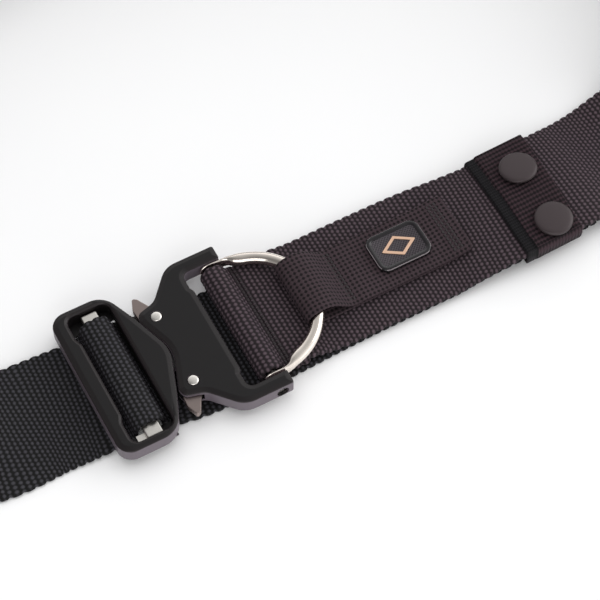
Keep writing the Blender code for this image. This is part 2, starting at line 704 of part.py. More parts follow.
def make_lever(name, side):
    """Release lever whose origin is on its rivet's axis."""
    corners = [(x, side * y, radius) for x, y, radius in LEVER_OUTLINE]
    lever = plate(name, shifted(rounded_outline(corners), BODY_Y), TONGUE_LOW, TONGUE_HIGH,
                  "lever_bronze")
    pivot = (RIVET_X, BODY_Y + side * RIVET_Y, 8.0)
    cut(lever, cylinder("lever_bore", pivot, "Z", RIVET_SHAFT_R + PIVOT_PLAY, DRILL_LENGTH, 20))
    origin = Vector((pivot[0], pivot[1], 0.0)) * MM
    for vert in lever.data.vertices:
        vert.co -= origin
    lever.location = origin
    return lever


def make_cross_bar():
    """Plain steel bar between the arms."""
    return cylinder("cross_bar", (BAR_X, BODY_Y, BAR_Z), "Y", BAR_R, 2 * BAR_HALF_LENGTH, 20)


def make_ring():
    """Ring of bent wire whose two ends are flattened into eyes on the cross bar."""
    rows = RING_HALF_ROWS + [(x, -y, z, thick, height)
                             for x, y, z, thick, height in reversed(RING_HALF_ROWS[:-1])]
    bm = bmesh.new()
    places = [Vector(row[:3]) + Vector((0.0, BODY_Y, 0.0)) for row in rows]
    rings = []
    for index, row in enumerate(rows):
        ahead = places[min(index + 1, len(places) - 1)]
        behind = places[max(index - 1, 0)]
        forward = (ahead - behind).normalized()
        forward.z = 0.0
        forward.normalize()
        across = Vector((-forward.y, forward.x, 0.0))
        squareness = 1.0 - min(1.0, row[3] / RING_WIRE)
        ring = []
        for side in range(RING_SIDES):
            angle = 2 * math.pi * (side + 0.5) / RING_SIDES
            reach = 1.0 + TAB_SQUARENESS * squareness * abs(math.sin(2 * angle))
            ring.append(bm.verts.new(places[index]
                                     + across * (row[3] / 2 * math.cos(angle) * reach)
                                     + Vector((0, 0, row[4] / 2 * math.sin(angle)))))
        rings.append(ring)
    for first, second in zip(rings, rings[1:]):
        for side in range(RING_SIDES):
            following = (side + 1) % RING_SIDES
            bm.faces.new((first[side], first[following], second[following], second[side]))
    bm.faces.new(rings[0])
    bm.faces.new(list(reversed(rings[-1])))
    ring = object_from_bmesh("d_ring", bm, "polished_nickel")
    cut(ring, cylinder("eye_bore", (BAR_X, BODY_Y, BAR_Z), "Y", BAR_R + GAP, BAR_DRILL_LENGTH, 16))
    return ring


def belt_lift(x):
    """Return the height of the belt's upper side under the ring keeper."""
    rows = [(row[0], row[1], row[2]) for row in BELT_FRONT_ROWS]
    for index in range(len(rows) - 1):
        if rows[index][0] <= x <= rows[index + 1][0]:
            p0, p3 = rows[max(index - 1, 0)], rows[min(index + 2, len(rows) - 1)]
            p1, p2 = rows[index], rows[index + 1]
            gaps = [math.dist(a, b) ** 0.5 for a, b in ((p0, p1), (p1, p2), (p2, p3))]
            part = (x - p1[0]) / (p2[0] - p1[0])
            return centripetal((p0[2], p1[2], p2[2], p3[2]), gaps, part) + BELT_THICK
    raise ValueError("no belt at this place")


def make_ring_keeper():
    """Narrow strap folded round the ring's curve and laid back on itself."""
    rows = []
    for x, lift, dip, on_belt in RING_KEEPER_ROWS:
        y = RING_KEEPER_Y + RING_KEEPER_SKEW * (x - 45.0)
        height = lift + belt_lift(x) if on_belt else lift
        rows.append((x, y, height, 0.0, dip, RING_KEEPER_WIDTH))
    stations = [row for _, row in spline(rows, 0, len(rows) - 1)]
    return band("ring_keeper", stations, RING_KEEPER_THICK, "keeper_webbing")


def make_badge():
    """Rubber plate with rounded corners and a raised rim."""
    high = BADGE_LOW + BADGE_THICK

    def outline(inset):
        reach_x, reach_y = BADGE_SIZE[0] / 2 - inset, BADGE_SIZE[1] / 2 - inset
        quarters = ((1.0, -1.0), (1.0, 1.0), (-1.0, 1.0), (-1.0, -1.0))
        corners = [(BADGE_CENTRE[0] + side_x * reach_x, BADGE_CENTRE[1] + side_y * reach_y,
                    BADGE_CORNER - inset) for side_x, side_y in quarters]
        return rounded_outline(corners)

    badge = plate("badge", outline(0.0), BADGE_LOW, high, "badge_rubber", 0.4)
    hollow = plate("badge_hollow", outline(BADGE_RIM), high - BADGE_RIM_RISE,
                   high + CUTTER_REACH, "badge_rubber")
    cut(badge, hollow)
    return badge


def make_badge_mark():
    """Plain lozenge outline laid in the middle of the badge."""
    low = BADGE_LOW + BADGE_THICK - BADGE_RIM_RISE + GAP
    slope = math.hypot(MARK_HALF_X, MARK_HALF_Y)
    inner_x = MARK_HALF_X - MARK_LINE * slope / MARK_HALF_Y
    inner_y = MARK_HALF_Y - MARK_LINE * slope / MARK_HALF_X
    centre_x, centre_y = BADGE_CENTRE

    def lozenge(reach_x, reach_y):
        return [(centre_x + reach_x, centre_y), (centre_x, centre_y + reach_y),
                (centre_x - reach_x, centre_y), (centre_x, centre_y - reach_y)]

    mark = plate("badge_mark", lozenge(MARK_HALF_X, MARK_HALF_Y), low, low + MARK_THICK,
                 "rose_gold")
    cut(mark, plate("mark_hollow", lozenge(inner_x, inner_y), low - CUTTER_REACH,
                    low + CUTTER_REACH, "rose_gold"))
    return mark


def keeper_place(x, y):
    """Return where a point of the straight sleeve lies: it is turned and its ends are askew."""
    along = (x - KEEPER_LEFT) / (KEEPER_RIGHT - KEEPER_LEFT)
    near = max(0.0, min(1.0, 0.5 - (y - KEEPER_Y) / KEEPER_BAND_WIDTH))
    moved = x + KEEPER_LEFT_CUT * (1.0 - near) * (1.0 - along) - KEEPER_RIGHT_CUT * near * along
    return moved, y + KEEPER_TURN * (moved - CAP_X)


def keeper_ring(outset, outset_below, sides=6):
    """Return the sleeve's cross-section in (y, z) at its distances from the webbing it holds."""
    half = KEEPER_BAND_WIDTH / 2
    low = KEEPER_TAIL_LIFT - outset_below
    high = KEEPER_BELT_LIFT + BELT_THICK + outset
    middle = (low + high) / 2
    rise = (high - low) / 2
    columns = [half * (2.0 * step / 8 - 1.0) for step in range(9)]
    ring = [(KEEPER_Y + v, high + dip_rise(v, KEEPER_DIP)) for v in columns]
    for step in range(1, sides):
        angle = math.pi / 2 - math.pi * step / sides
        ring.append((KEEPER_Y + half + outset * math.cos(angle),
                     middle + rise * math.sin(angle) + dip_rise(half, KEEPER_DIP)))
    ring += [(KEEPER_Y + v, low + dip_rise(v, KEEPER_DIP)) for v in reversed(columns)]
    for step in range(1, sides):
        angle = -math.pi / 2 - math.pi * step / sides
        ring.append((KEEPER_Y - half + outset * math.cos(angle),
                     middle + rise * math.sin(angle) + dip_rise(-half, KEEPER_DIP)))
    return ring


def sleeve(name, x_low, x_high, inner, outer, outer_below):
    """Extrude the wall between two distances from the webbing along X."""
    bm = bmesh.new()
    corners = ((x_low, outer, outer_below), (x_high, outer, outer_below),
               (x_high, inner, inner), (x_low, inner, inner))
    grid = [[bm.verts.new((*keeper_place(x, y), z)) for y, z in keeper_ring(above, below)]
            for x, above, below in corners]
    count = len(grid[0])
    for index in range(4):
        first, second = grid[index], grid[(index + 1) % 4]
        for side in range(count):
            following = (side + 1) % count
            bm.faces.new((first[side], first[following], second[following], second[side]))
    return object_from_bmesh(name, bm, "snap_webbing")


def make_snap_keeper():
    """Webbing sleeve round the belt and the tail, doubled past its left border."""
    single = GAP + KEEPER_LAYER
    keeper = sleeve("snap_keeper", KEEPER_LEFT, KEEPER_RIGHT - 0.8, GAP, single, single)
    doubled = sleeve("doubled_layer", KEEPER_STEP, KEEPER_RIGHT, single - 0.5,
                     single + KEEPER_SECOND_LAYER, single - 0.1)
    cut(keeper, doubled, "UNION")
    return keeper


def make_snap_cap(name, across, tilt_degrees):
    """Shallow domed press-stud cap on the keeper."""
    surface = (KEEPER_BELT_LIFT + BELT_THICK + GAP + KEEPER_LAYER + KEEPER_SECOND_LAYER
               + dip_rise(across, KEEPER_DIP))
    profile = [(CAP_RADIUS - 0.8, 0.0), (CAP_RADIUS, 0.7), (CAP_RADIUS, 1.3),
               (CAP_RADIUS - 0.3, 2.1), (CAP_RADIUS - 1.1, 2.7), (CAP_RADIUS - 2.4, 3.0),
               (0.0, CAP_HEIGHT)]
    tilt = math.radians(-tilt_degrees)
    lift = GAP + CAP_RADIUS * abs(math.sin(tilt)) * 0.5
    return turned(name, profile, (CAP_X, KEEPER_Y + across, surface + lift), tilt, 28,
                  "gunmetal_cap")


def shifted(points, middle):
    """Move an outline to its place along the belt and to its half's middle line."""
    return [(x + BUCKLE_X, y + middle) for x, y in points]


def main():
    """Build every piece of the belt."""
    clear_scene()
    make_main_belt()
    make_adjusting_strap()
    make_male_frame()
    make_slide_bar()
    make_buckle_body()
    make_rivet("rivet_upper", 1.0)
    make_rivet("rivet_lower", -1.0)
    make_lever("release_lever_upper", 1.0)
    make_lever("release_lever_lower", -1.0)
    make_cross_bar()
    make_ring()
    make_ring_keeper()
    make_badge()
    make_badge_mark()
    make_snap_keeper()
    make_snap_cap("snap_cap_upper", 9.4, 10.0)
    make_snap_cap("snap_cap_lower", -16.3, 0.0)


main()
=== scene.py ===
"""Webbing belt with a quick-release buckle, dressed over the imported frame.

The belt lies on a pale floor with its buckle's face up. Lengths in the tables are
millimetres, and every mesh is made in metres at its own place.
"""
import logging
import math
from dataclasses import dataclass, field
from enum import Enum

import bmesh
import bpy
from mathutils import Matrix, Vector


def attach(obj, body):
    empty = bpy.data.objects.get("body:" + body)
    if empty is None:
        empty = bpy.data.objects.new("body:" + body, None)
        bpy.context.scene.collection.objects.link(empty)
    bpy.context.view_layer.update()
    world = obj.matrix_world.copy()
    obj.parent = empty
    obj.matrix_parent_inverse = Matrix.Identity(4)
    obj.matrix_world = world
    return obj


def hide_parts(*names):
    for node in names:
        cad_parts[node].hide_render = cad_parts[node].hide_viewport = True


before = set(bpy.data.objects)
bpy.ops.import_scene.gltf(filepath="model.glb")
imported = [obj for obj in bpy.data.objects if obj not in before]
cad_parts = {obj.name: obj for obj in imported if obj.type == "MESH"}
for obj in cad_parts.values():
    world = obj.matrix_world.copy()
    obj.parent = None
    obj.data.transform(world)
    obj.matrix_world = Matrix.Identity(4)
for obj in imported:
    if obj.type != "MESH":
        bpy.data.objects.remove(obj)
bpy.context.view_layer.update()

LOG = logging.getLogger("belt")
MM = 0.001
TURN = 2.0 * math.pi
SIDES = (-1.0, 1.0)
BODY = "belt"
# How far a knuckle of the heavy webbing stands up, against the groove between two columns.
KNUCKLE = 1.15

Point = tuple[float, float]
Place = tuple[float, float, float]
Row = list[float]
Piece = bpy.types.Object
Tree = bpy.types.NodeTree
Socket = bpy.types.NodeSocket


class Weave(Enum):
    """The webbings' patterns."""

    LATTICE = "offset knuckles of a heavy plain webbing"
    PITTED = "fine webbing with a square grid of pits"
    RIBBED = "tape with ribs along the belt"


@dataclass(frozen=True)
class Pattern:
    """A weave with its spacings along and across the webbing, in millimetres."""

    weave: Weave
    along: float
    across: float


HEAVY = Pattern(Weave.LATTICE, 3.6, 0.88)
PITS = Pattern(Weave.PITTED, 1.78, 1.7)
RIBS = Pattern(Weave.RIBBED, 1.53, 2.0)
BORDER = Pattern(Weave.RIBBED, 0.9, 1.2)


def linear(code: str) -> tuple[float, float, float, float]:
    """Turn an sRGB hex code into a linear colour.

    Args:
        code: Six hex digits.

    Returns:
        Red, green, blue and alpha.
    """
    values = [int(code[i:i + 2], 16) / 255.0 for i in (0, 2, 4)]
    parts = [v / 12.92 if v <= 0.04045 else ((v + 0.055) / 1.055) ** 2.4 for v in values]
    return (parts[0], parts[1], parts[2], 1.0)


def add_node(tree: Tree, kind: str, inputs: dict | None = None,
             **settings: object) -> bpy.types.Node:
    """Add a node to a material.

    Args:
        tree: The material's node tree.
        kind: The node's type name without its ShaderNode prefix.
        inputs: Values to set and sockets to link, by input number or name.
        settings: The node's own settings.

    Returns:
        The new node.
    """
    node = tree.nodes.new("ShaderNode" + kind)
    for key, value in settings.items():
        setattr(node, key, value)
    for key, value in (inputs or {}).items():
        if isinstance(value, Socket):
            tree.links.new(value, node.inputs[key])
        else:
            node.inputs[key].default_value = value
    return node


class Finish:
    """A finish: subclasses describe their surface, and material makes it."""

    name: str

    def surface(self, tree: Tree, place: Socket) -> dict:
        """Add the finish's nodes.

        Args:
            tree: The material's node tree.
            place: Socket of the place on the piece, in metres.

        Returns:
            Values and sockets for the shader's inputs.
        """
        raise NotImplementedError

    def place(self, tree: Tree) -> Socket:
        """Add the piece's own coordinates and return their socket."""
        return add_node(tree, "TexCoord").outputs["Object"]

    def material(self) -> bpy.types.Material:
        """Return the finish as a material with one Principled shader."""
        material = bpy.data.materials.new(self.name)
        material.use_nodes = True
        tree = material.node_tree
        tree.nodes.clear()
        shader = add_node(tree, "BsdfPrincipled", self.surface(tree, self.place(tree)))
        add_node(tree, "OutputMaterial", {0: shader.outputs[0]})
        return material


@dataclass(frozen=True)
class NylonWebbing(Finish):
    """Woven nylon: matt yarn, with a painted highlight on each knuckle and painted shade, near
    black, between them.
    """

    name: str
    pattern: Pattern
    yarn: str
    # gap: the colour of the painted shade between knuckles, pits and ribs.
    gap: str
    relief: float
    tint: str
    roughness: float = 0.82
    sheen: str = "b8a8b8"

    def place(self, tree: Tree) -> Socket:
        """Add the webbing's length and width as coordinates and return their socket."""
        return add_node(tree, "UVMap", uv_map="UVMap").outputs[0]

    def wave(self, tree: Tree, way: Socket, pitch: float, share: float = 1.0) -> Socket:
        """Add a cosine along one way of the webbing.

        Args:
            tree: The material's node tree.
            way: Socket of the place that way, in metres.
            pitch: The wave's length in millimetres.
            share: The wave's height.

        Returns:
            The wave's socket.
        """
        turns = add_node(tree, "Math", {0: way, 1: TURN / (pitch * MM)}, operation="MULTIPLY")
        wave = add_node(tree, "Math", {0: turns.outputs[0]}, operation="COSINE")
        return add_node(tree, "Math", {0: wave.outputs[0], 1: share},
                        operation="MULTIPLY").outputs[0]

    def height(self, tree: Tree, u: Socket, v: Socket) -> Socket:
        """Add the weave's height from 0 to 1.

        Args:
            tree: The material's node tree.
            u: Socket of the place along the webbing, in metres.
            v: Socket of the place across the webbing, in metres.

        Returns:
            The height's socket.
        """
        along, across = self.pattern.along, self.pattern.across
        if self.pattern.weave is Weave.LATTICE:
            # The grooves between the columns, and the knuckles offset from one to the next.
            low, high = -1.0, 1.75
            knuckles = add_node(tree, "Math", {
                0: self.wave(tree, u, along, KNUCKLE),
                1: self.wave(tree, v, 2.0 * across)}, operation="MULTIPLY")
            waves = {0: self.wave(tree, u, along / 2.0), 1: knuckles.outputs[0]}
        elif self.pattern.weave is Weave.PITTED:
            # A pit lies wherever both waves crest.
            low, high = -0.8, 0.3
            waves = {0: self.wave(tree, u, along, -0.5), 1: self.wave(tree, v, across, -0.5)}
        else:
            low, high = -0.85, 0.95
            waves = {0: self.wave(tree, v, across, 0.75), 1: self.wave(tree, u, along, 0.42)}
        total = add_node(tree, "Math", waves, operation="ADD").outputs[0]
        return add_node(tree, "MapRange", {0: total, 1: low, 2: high},
                        interpolation_type="SMOOTHSTEP").outputs[0]

    def surface(self, tree: Tree, place: Socket) -> dict:
        """Add the weave's nodes.

        Args:
            tree: The material's node tree.
            place: Socket of the place on the piece.

        Returns:
            Values and sockets for the shader's inputs.
        """
        parts = add_node(tree, "SeparateXYZ", {0: place}).outputs
        # Yarn wanders by up to 0.25 mm, so that no row is ruled straight.
        flex = add_node(tree, "TexNoise", {0: place, "Scale": 240.0, "Detail": 1.0})
        bend = add_node(tree, "MapRange", {0: flex.outputs[0], 3: -0.25 * MM, 4: 0.25 * MM},
                        clamp=False).outputs[0]
        u, v = [add_node(tree, "Math", {0: part, 1: bend}, operation="ADD").outputs[0]
                for part in parts[:2]]
        height = self.height(tree, u, v)
        # Filaments about 0.2 mm across run along each knuckle and break its highlight.
        stretched = add_node(tree, "Mapping", {0: place, 3: (900.0, 4200.0, 1.0)})
        fibre = add_node(tree, "TexNoise", {0: stretched.outputs[0], "Scale": 1.0,
                                            "Detail": 2.0}).outputs[0]
        # Slow changes of shade over some centimetres, as handled webbing shows.
        cloud = add_node(tree, "TexNoise", {0: place, "Scale": 45.0, "Detail": 2.0})
        shade = add_node(tree, "Mix", {0: cloud.outputs[0], 6: linear(self.yarn),
                                       7: linear(self.tint)}, data_type="RGBA")
        # Painted light: the weave's height lifts the colour to a painted highlight on each
        # knuckle, and the low places take the gap colour as painted shade.
        gain = add_node(tree, "MapRange", {0: fibre, 3: 0.6, 4: 1.3}, clamp=False)
        lit = add_node(tree, "Math", {0: height, 1: gain.outputs[0]}, operation="MULTIPLY")
        colour = add_node(tree, "Mix", {0: lit.outputs[0], 6: linear(self.gap),
                                        7: shade.outputs[2]}, data_type="RGBA")
        total = add_node(tree, "Math", {0: fibre, 1: 0.18, 2: height},
                         operation="MULTIPLY_ADD")
        bump = add_node(tree, "Bump", {"Strength": 1.0, "Distance": self.relief * MM,
                                       "Height": total.outputs[0]})
        return {"Base Color": colour.outputs[2], "Normal": bump.outputs[0],
                "Roughness": self.roughness, "Sheen Weight": 0.06, "Sheen Roughness": 0.45,
                "Sheen Tint": linear(self.sheen), "Specular IOR Level": 0.25}


@dataclass(frozen=True)
class AnodisedAluminium(Finish):
    """Machined, bead-blasted and black anodised: even satin charcoal, with painted light on its
    walls.
    """

    name: str = "black_anodised_aluminium"
    face: str = "100e0f"
    painted_bevel_light: str = "1c1718"
    painted_wall_light: str = "655c64"

    def surface(self, tree: Tree, place: Socket) -> dict:
        """Add the metal's nodes.

        Args:
            tree: The material's node tree.
            place: Socket of the place on the piece.

        Returns:
            Values and sockets for the shader's inputs.
        """
        # The blasted grain is about 0.1 mm, drawn at 0.3 mm so that it shows.
        grain = add_node(tree, "TexNoise", {0: place, "Scale": 3300.0, "Detail": 2.0})
        cloud = add_node(tree, "TexNoise", {0: place, "Scale": 70.0, "Detail": 3.0})
        normal = add_node(tree, "NewGeometry").outputs["Normal"]
        upward = add_node(tree, "SeparateXYZ", {0: normal}).outputs[2]
        # Painted light: the walls are painted the palest and the bevels lighter than the flat
        # top, which is the darkest.
        flat = add_node(tree, "MapRange", {0: upward, 1: 0.9, 2: 0.995}).outputs[0]
        wall_to_bevel_light = add_node(tree, "MapRange", {0: upward, 1: 0.1, 2: 0.6}).outputs[0]
        sides = add_node(tree, "Mix", {0: wall_to_bevel_light, 6: linear(self.painted_wall_light),
                                       7: linear(self.painted_bevel_light)}, data_type="RGBA")
        colour = add_node(tree, "Mix", {0: flat, 6: sides.outputs[2],
                                        7: linear(self.face)}, data_type="RGBA")
        rough = add_node(tree, "MapRange", {0: cloud.outputs[0], 3: 0.34, 4: 0.48})
        bump = add_node(tree, "Bump", {"Strength": 0.25, "Distance": 0.02 * MM,
                                       "Height": grain.outputs[0]})
        return {"Base Color": colour.outputs[2], "Roughness": rough.outputs[0],
                "Normal": bump.outputs[0], "Specular IOR Level": 0.36}


@dataclass(frozen=True)
class PlainMetal(Finish):
    """A bare, plated or painted metal with fine lines or pits in its surface."""

    name: str
    colour: str
    low_rough: float
    high_rough: float
    grain_mm: float = 0.4
    stretch: Place = (1.0, 1.0, 1.0)
    metallic: float = 1.0
    relief_mm: float = 0.01

    def surface(self, tree: Tree, place: Socket) -> dict:
        """Add the metal's nodes.

        Args:
            tree: The material's node tree.
            place: Socket of the place on the piece.

        Returns:
            Values and sockets for the shader's inputs.
        """
        lay = add_node(tree, "Mapping", {0: place, 3: self.stretch})
        grain = add_node(tree, "TexNoise", {0: lay.outputs[0], "Detail": 3.0,
                                            "Scale": 1.0 / (self.grain_mm * MM)})
        cloud = add_node(tree, "TexNoise", {0: place, "Scale": 160.0, "Detail": 3.0})
        rough = add_node(tree, "MapRange", {0: cloud.outputs[0], 3: self.low_rough,
                                            4: self.high_rough})
        bump = add_node(tree, "Bump", {"Strength": 0.5, "Distance": self.relief_mm * MM,
                                       "Height": grain.outputs[0]})
        return {"Base Color": linear(self.colour), "Roughness": rough.outputs[0],
                "Normal": bump.outputs[0], "Metallic": self.metallic}


@dataclass(frozen=True)
class MouldedRubber(Finish):
    """Moulded rubber: dull black, with a fine diagonal lattice in the badge's field, its ridges
    painted lighter and its grooves darker as painted light and shade.
    """

    name: str = "moulded_rubber"
    lattice_mm: float = 0.9
    floor: str = "171418"
    ridge: str = "40383f"

    def surface(self, tree: Tree, place: Socket) -> dict:
        """Add the rubber's nodes.

        Args:
            tree: The material's node tree.
            place: Socket of the place on the piece.

        Returns:
            Values and sockets for the shader's inputs.
        """
        turned = add_node(tree, "Mapping", {0: place, 2: (0.0, 0.0, math.radians(45.0))})
        parts = add_node(tree, "SeparateXYZ", {0: turned.outputs[0]}).outputs
        scale = TURN / (self.lattice_mm * MM)
        waves = {}
        for index in (0, 1):
            turns = add_node(tree, "Math", {0: parts[index], 1: scale}, operation="MULTIPLY")
            waves[index] = add_node(tree, "Math", {0: turns.outputs[0]},
                                    operation="COSINE").outputs[0]
        crest = add_node(tree, "Math", waves, operation="MAXIMUM").outputs[0]
        ridge = add_node(tree, "MapRange", {0: crest, 1: 0.2, 2: 0.9}).outputs[0]
        # Painted light and shade: the ridges are painted lighter and the grooves darker.
        colour = add_node(tree, "Mix", {0: ridge, 6: linear(self.floor),
                                        7: linear(self.ridge)}, data_type="RGBA")
        bump = add_node(tree, "Bump", {"Strength": 0.7, "Distance": 0.12 * MM,
                                       "Height": ridge})
        return {"Base Color": colour.outputs[2], "Normal": bump.outputs[0],
                "Roughness": 0.48}


@dataclass(frozen=True)
class SmoothRubber(Finish):
    """The same rubber where it is plain and a little glossy, as on the badge's rim."""

    name: str = "smooth_rubber"
    low: str = "131114"
    high: str = "1b181b"

    def surface(self, tree: Tree, place: Socket) -> dict:
        """Add the rubber's nodes.

        Args:
            tree: The material's node tree.
            place: Socket of the place on the piece.

        Returns:
            Values and sockets for the shader's inputs.
        """
        cloud = add_node(tree, "TexNoise", {0: place, "Scale": 400.0,
                                            "Detail": 2.0}).outputs[0]
        colour = add_node(tree, "Mix", {0: cloud, 6: linear(self.low),
                                        7: linear(self.high)}, data_type="RGBA")
        rough = add_node(tree, "MapRange", {0: cloud, 3: 0.12, 4: 0.22})
        return {"Base Color": colour.outputs[2], "Roughness": rough.outputs[0],
                "Specular IOR Level": 0.5}


@dataclass(frozen=True)
class StitchThread(Finish):
    """Bonded nylon thread: dark, slightly glossy and twisted."""

    name: str = "bonded_thread"
    groove: str = "1a1517"
    strand: str = "2c2427"

    def surface(self, tree: Tree, place: Socket) -> dict:
        """Add the thread's nodes.

        Args:
            tree: The material's node tree.
            place: Socket of the place on the piece.

        Returns:
            Values and sockets for the shader's inputs.
        """
        # Twist of about 0.4 mm.
        lay = add_node(tree, "Mapping", {0: place, 2: (0.0, 0.0, 0.8)})
        twist = add_node(tree, "TexWave", {0: lay.outputs[0], "Scale": 800.0,
                                           "Distortion": 1.0}).outputs[1]
        # The twist's grooves get the darker groove colour: painted shade.
        shade = add_node(tree, "Mix", {0: twist, 6: linear(self.groove),
                                       7: linear(self.strand)}, data_type="RGBA")
        bump = add_node(tree, "Bump", {"Strength": 0.5, "Distance": 0.08 * MM,
                                       "Height": twist})
        return {"Base Color": shade.outputs[2], "Normal": bump.outputs[0],
                "Roughness": 0.55}


@dataclass(frozen=True)
class WhiteBoard(Finish):
    """Painted board, matt and white with a very faint mottle: the floor."""

    name: str = "matt_white_board"

    def surface(self, tree: Tree, place: Socket) -> dict:
        """Add the board's nodes.

        Args:
            tree: The material's node tree.
            place: Socket of the place on the piece.

        Returns:
            Values and sockets for the shader's inputs.
        """
        cloud = add_node(tree, "TexNoise", {0: place, "Scale": 6.0, "Detail": 2.0})
        colour = add_node(tree, "Mix", {0: cloud.outputs[0], 6: linear("f4f4f5"),
                                        7: linear("fafafa")}, data_type="RGBA")
        return {"Base Color": colour.outputs[2], "Roughness": 0.9,
                "Specular IOR Level": 0.1}


@dataclass
class Finishes:
    """Every material of the belt, made once."""

    made: dict[str, bpy.types.Material] = field(default_factory=dict)

    def make(self) -> None:
        """Build the materials."""
        kinds = {
            # Each webbing's second colour is its gap colour: the painted shade between its
            # knuckles, pits and ribs.
            "belt": NylonWebbing("woven_nylon_belt", HEAVY, "5c4e53", "1f191c", 0.25,
                                 "52464e"),
            "strap": NylonWebbing("woven_nylon_strap", HEAVY, "424245", "101010", 0.25,
                                  "3b3940"),
            "keeper": NylonWebbing("woven_nylon_ring_keeper", PITS, "41353a", "130f11", 0.15,
                                   "392d31"),
            "snap": NylonWebbing("ribbed_nylon_tape", RIBS, "3d2c32", "120c0f", 0.3,
                                 "34262b"),
            # The border is the lower layer's dark edge, painted near black also as painted shade
            # beside the raised outer layer.
            "border_and_shade": NylonWebbing("plain_nylon_border_and_painted_shade", BORDER, "16181a", "0a0a0b", 0.12,
                                   "1d181c"),
            "aluminium": AnodisedAluminium(),
            # The slot's walls get a darker wall colour: painted shade inside the slot.
            "inside": AnodisedAluminium("black_anodised_painted_shade_inner_walls", painted_wall_light="151213"),
            "nickel": PlainMetal("polished_nickel_plate", "efe6dd", 0.1, 0.18),
            "steel": PlainMetal("bright_turned_steel", "f0ece6", 0.24, 0.36, 0.25),
            "bronze": PlainMetal("pressed_steel_bronzed", "9a8d89", 0.34, 0.46, 0.5,
                                 (0.2, 1.0, 1.0)),
            "cap": PlainMetal("painted_brass_cap", "3d3436", 0.4, 0.5, 0.3, metallic=0.3),
            "rubber": MouldedRubber(),
            "rim": SmoothRubber(),
            # A pale colour for the rim's outer slopes: a painted highlight.
            "edge_highlight": SmoothRubber("smooth_rubber_painted_highlight_edge", "6f6669", "8d8588"),
            "rose": PlainMetal("rose_gold_foil", "e6bfa4", 0.3, 0.4, 0.3, metallic=0.6),
            "thread": StitchThread(),
        }
        for key, finish in kinds.items():
            self.made[key] = finish.material()

    def dress(self, obj: Piece, *keys: str) -> None:
        """Give a piece these materials in place of what it has.

        Args:
            obj: The piece.
            keys: The materials' short names, in the order of their slots.
        """
        obj.data.materials.clear()
        for key in keys:
            obj.data.materials.append(self.made[key])


def centripetal(values: tuple, gaps: tuple, part: float) -> float:
    """Read a centripetal Catmull-Rom curve.

    Args:
        values: Four values of one column.
        gaps: Square roots of the distances between the four rows.
        part: Place from the second row, 0, to the third, 1.

    Returns:
        The value there.
    """
    v0, v1, v2, v3 = values
    d1, d2, d3 = gaps
    slope1 = slope2 = (v2 - v1) / d2
    if d1 > 0.01:
        slope1 = (v1 - v0) / d1 - (v2 - v0) / (d1 + d2) + (v2 - v1) / d2
    if d3 > 0.01:
        slope2 = (v2 - v1) / d2 - (v3 - v1) / (d2 + d3) + (v3 - v2) / d3
    m1, m2, t = slope1 * d2, slope2 * d2, part
    return ((2 * t ** 3 - 3 * t ** 2 + 1) * v1 + (t ** 3 - 2 * t ** 2 + t) * m1
            + (3 * t ** 2 - 2 * t ** 3) * v2 + (t ** 3 - t ** 2) * m2)


def spline(rows: list, first: int, last: int, pitch: float) -> list[tuple[float, Row]]:
    """Sample a smooth curve through a table's rows.

    Args:
        rows: Rows of equal length whose first three columns are a place.
        first: The row to start at.
        last: The row to end at.
        pitch: The distance between samples.

    Returns:
        Each sample's place in the table and its values.
    """
    samples = []
    for index in range(first, last):
        p0, p1, p2 = rows[max(index - 1, 0)], rows[index], rows[index + 1]
        p3 = rows[min(index + 2, len(rows) - 1)]
        span = math.dist(p1[:3], p2[:3])
        gaps = (math.dist(p0[:3], p1[:3]) ** 0.5, span ** 0.5, math.dist(p2[:3], p3[:3]) ** 0.5)
        steps = max(2, round(span / pitch))
        for step in range(steps):
            samples.append((index + step / steps, [centripetal(c, gaps, step / steps)
                                                   for c in zip(p0, p1, p2, p3)]))
    samples.append((float(last), list(rows[last])))
    return samples


def skin(name: str, rings: list[tuple], closed: bool) -> Piece:
    """Join rings of points into one smooth mesh, with the weave's places as its UV map.

    Args:
        name: The piece's name.
        rings: Each ring's points, their places round it and its place along, in millimetres.
        closed: Whether the last ring joins the first, instead of a face at each end.

    Returns:
        The piece, with its UV map in metres.
    """
    bm = bmesh.new()
    uv = bm.loops.layers.uv.new("UVMap")
    made = [([bm.verts.new(point * MM) for point in points], spots, run)
            for points, spots, run in rings]
    following = made[1:] + made[:1] if closed else made[1:]
    for (first, spots, run), (second, _, next_run) in zip(made, following):
        for side in range(len(first)):
            after = (side + 1) % len(first)
            face = bm.faces.new((first[side], first[after], second[after], second[side]))
            face.smooth = True
            near, far = spots[side], spots[side + 1]
            for loop, (u, v) in zip(face.loops, ((run, near), (run, far), (next_run, far),
                                                 (next_run, near))):
                loop[uv].uv = (u * MM, v * MM)
    for ring, spots, run in () if closed else (made[0], made[-1]):
        face = bm.faces.new(ring)
        for loop, v in zip(face.loops, spots):
            loop[uv].uv = (run * MM, v * MM)
    bmesh.ops.recalc_face_normals(bm, faces=bm.faces)
    mesh = bpy.data.meshes.new(name)
    bm.to_mesh(mesh)
    bm.free()
    obj = bpy.data.objects.new(name, mesh)
    bpy.context.collection.objects.link(obj)
    return obj


def dip_rise(across: float, dip: float) -> float:
    """Return how far a dipped band stands above its far edge's level at a place across it."""
    reach = max(0.0, across + 5.0) / 30.0
    return dip * (1.0 - reach * reach)


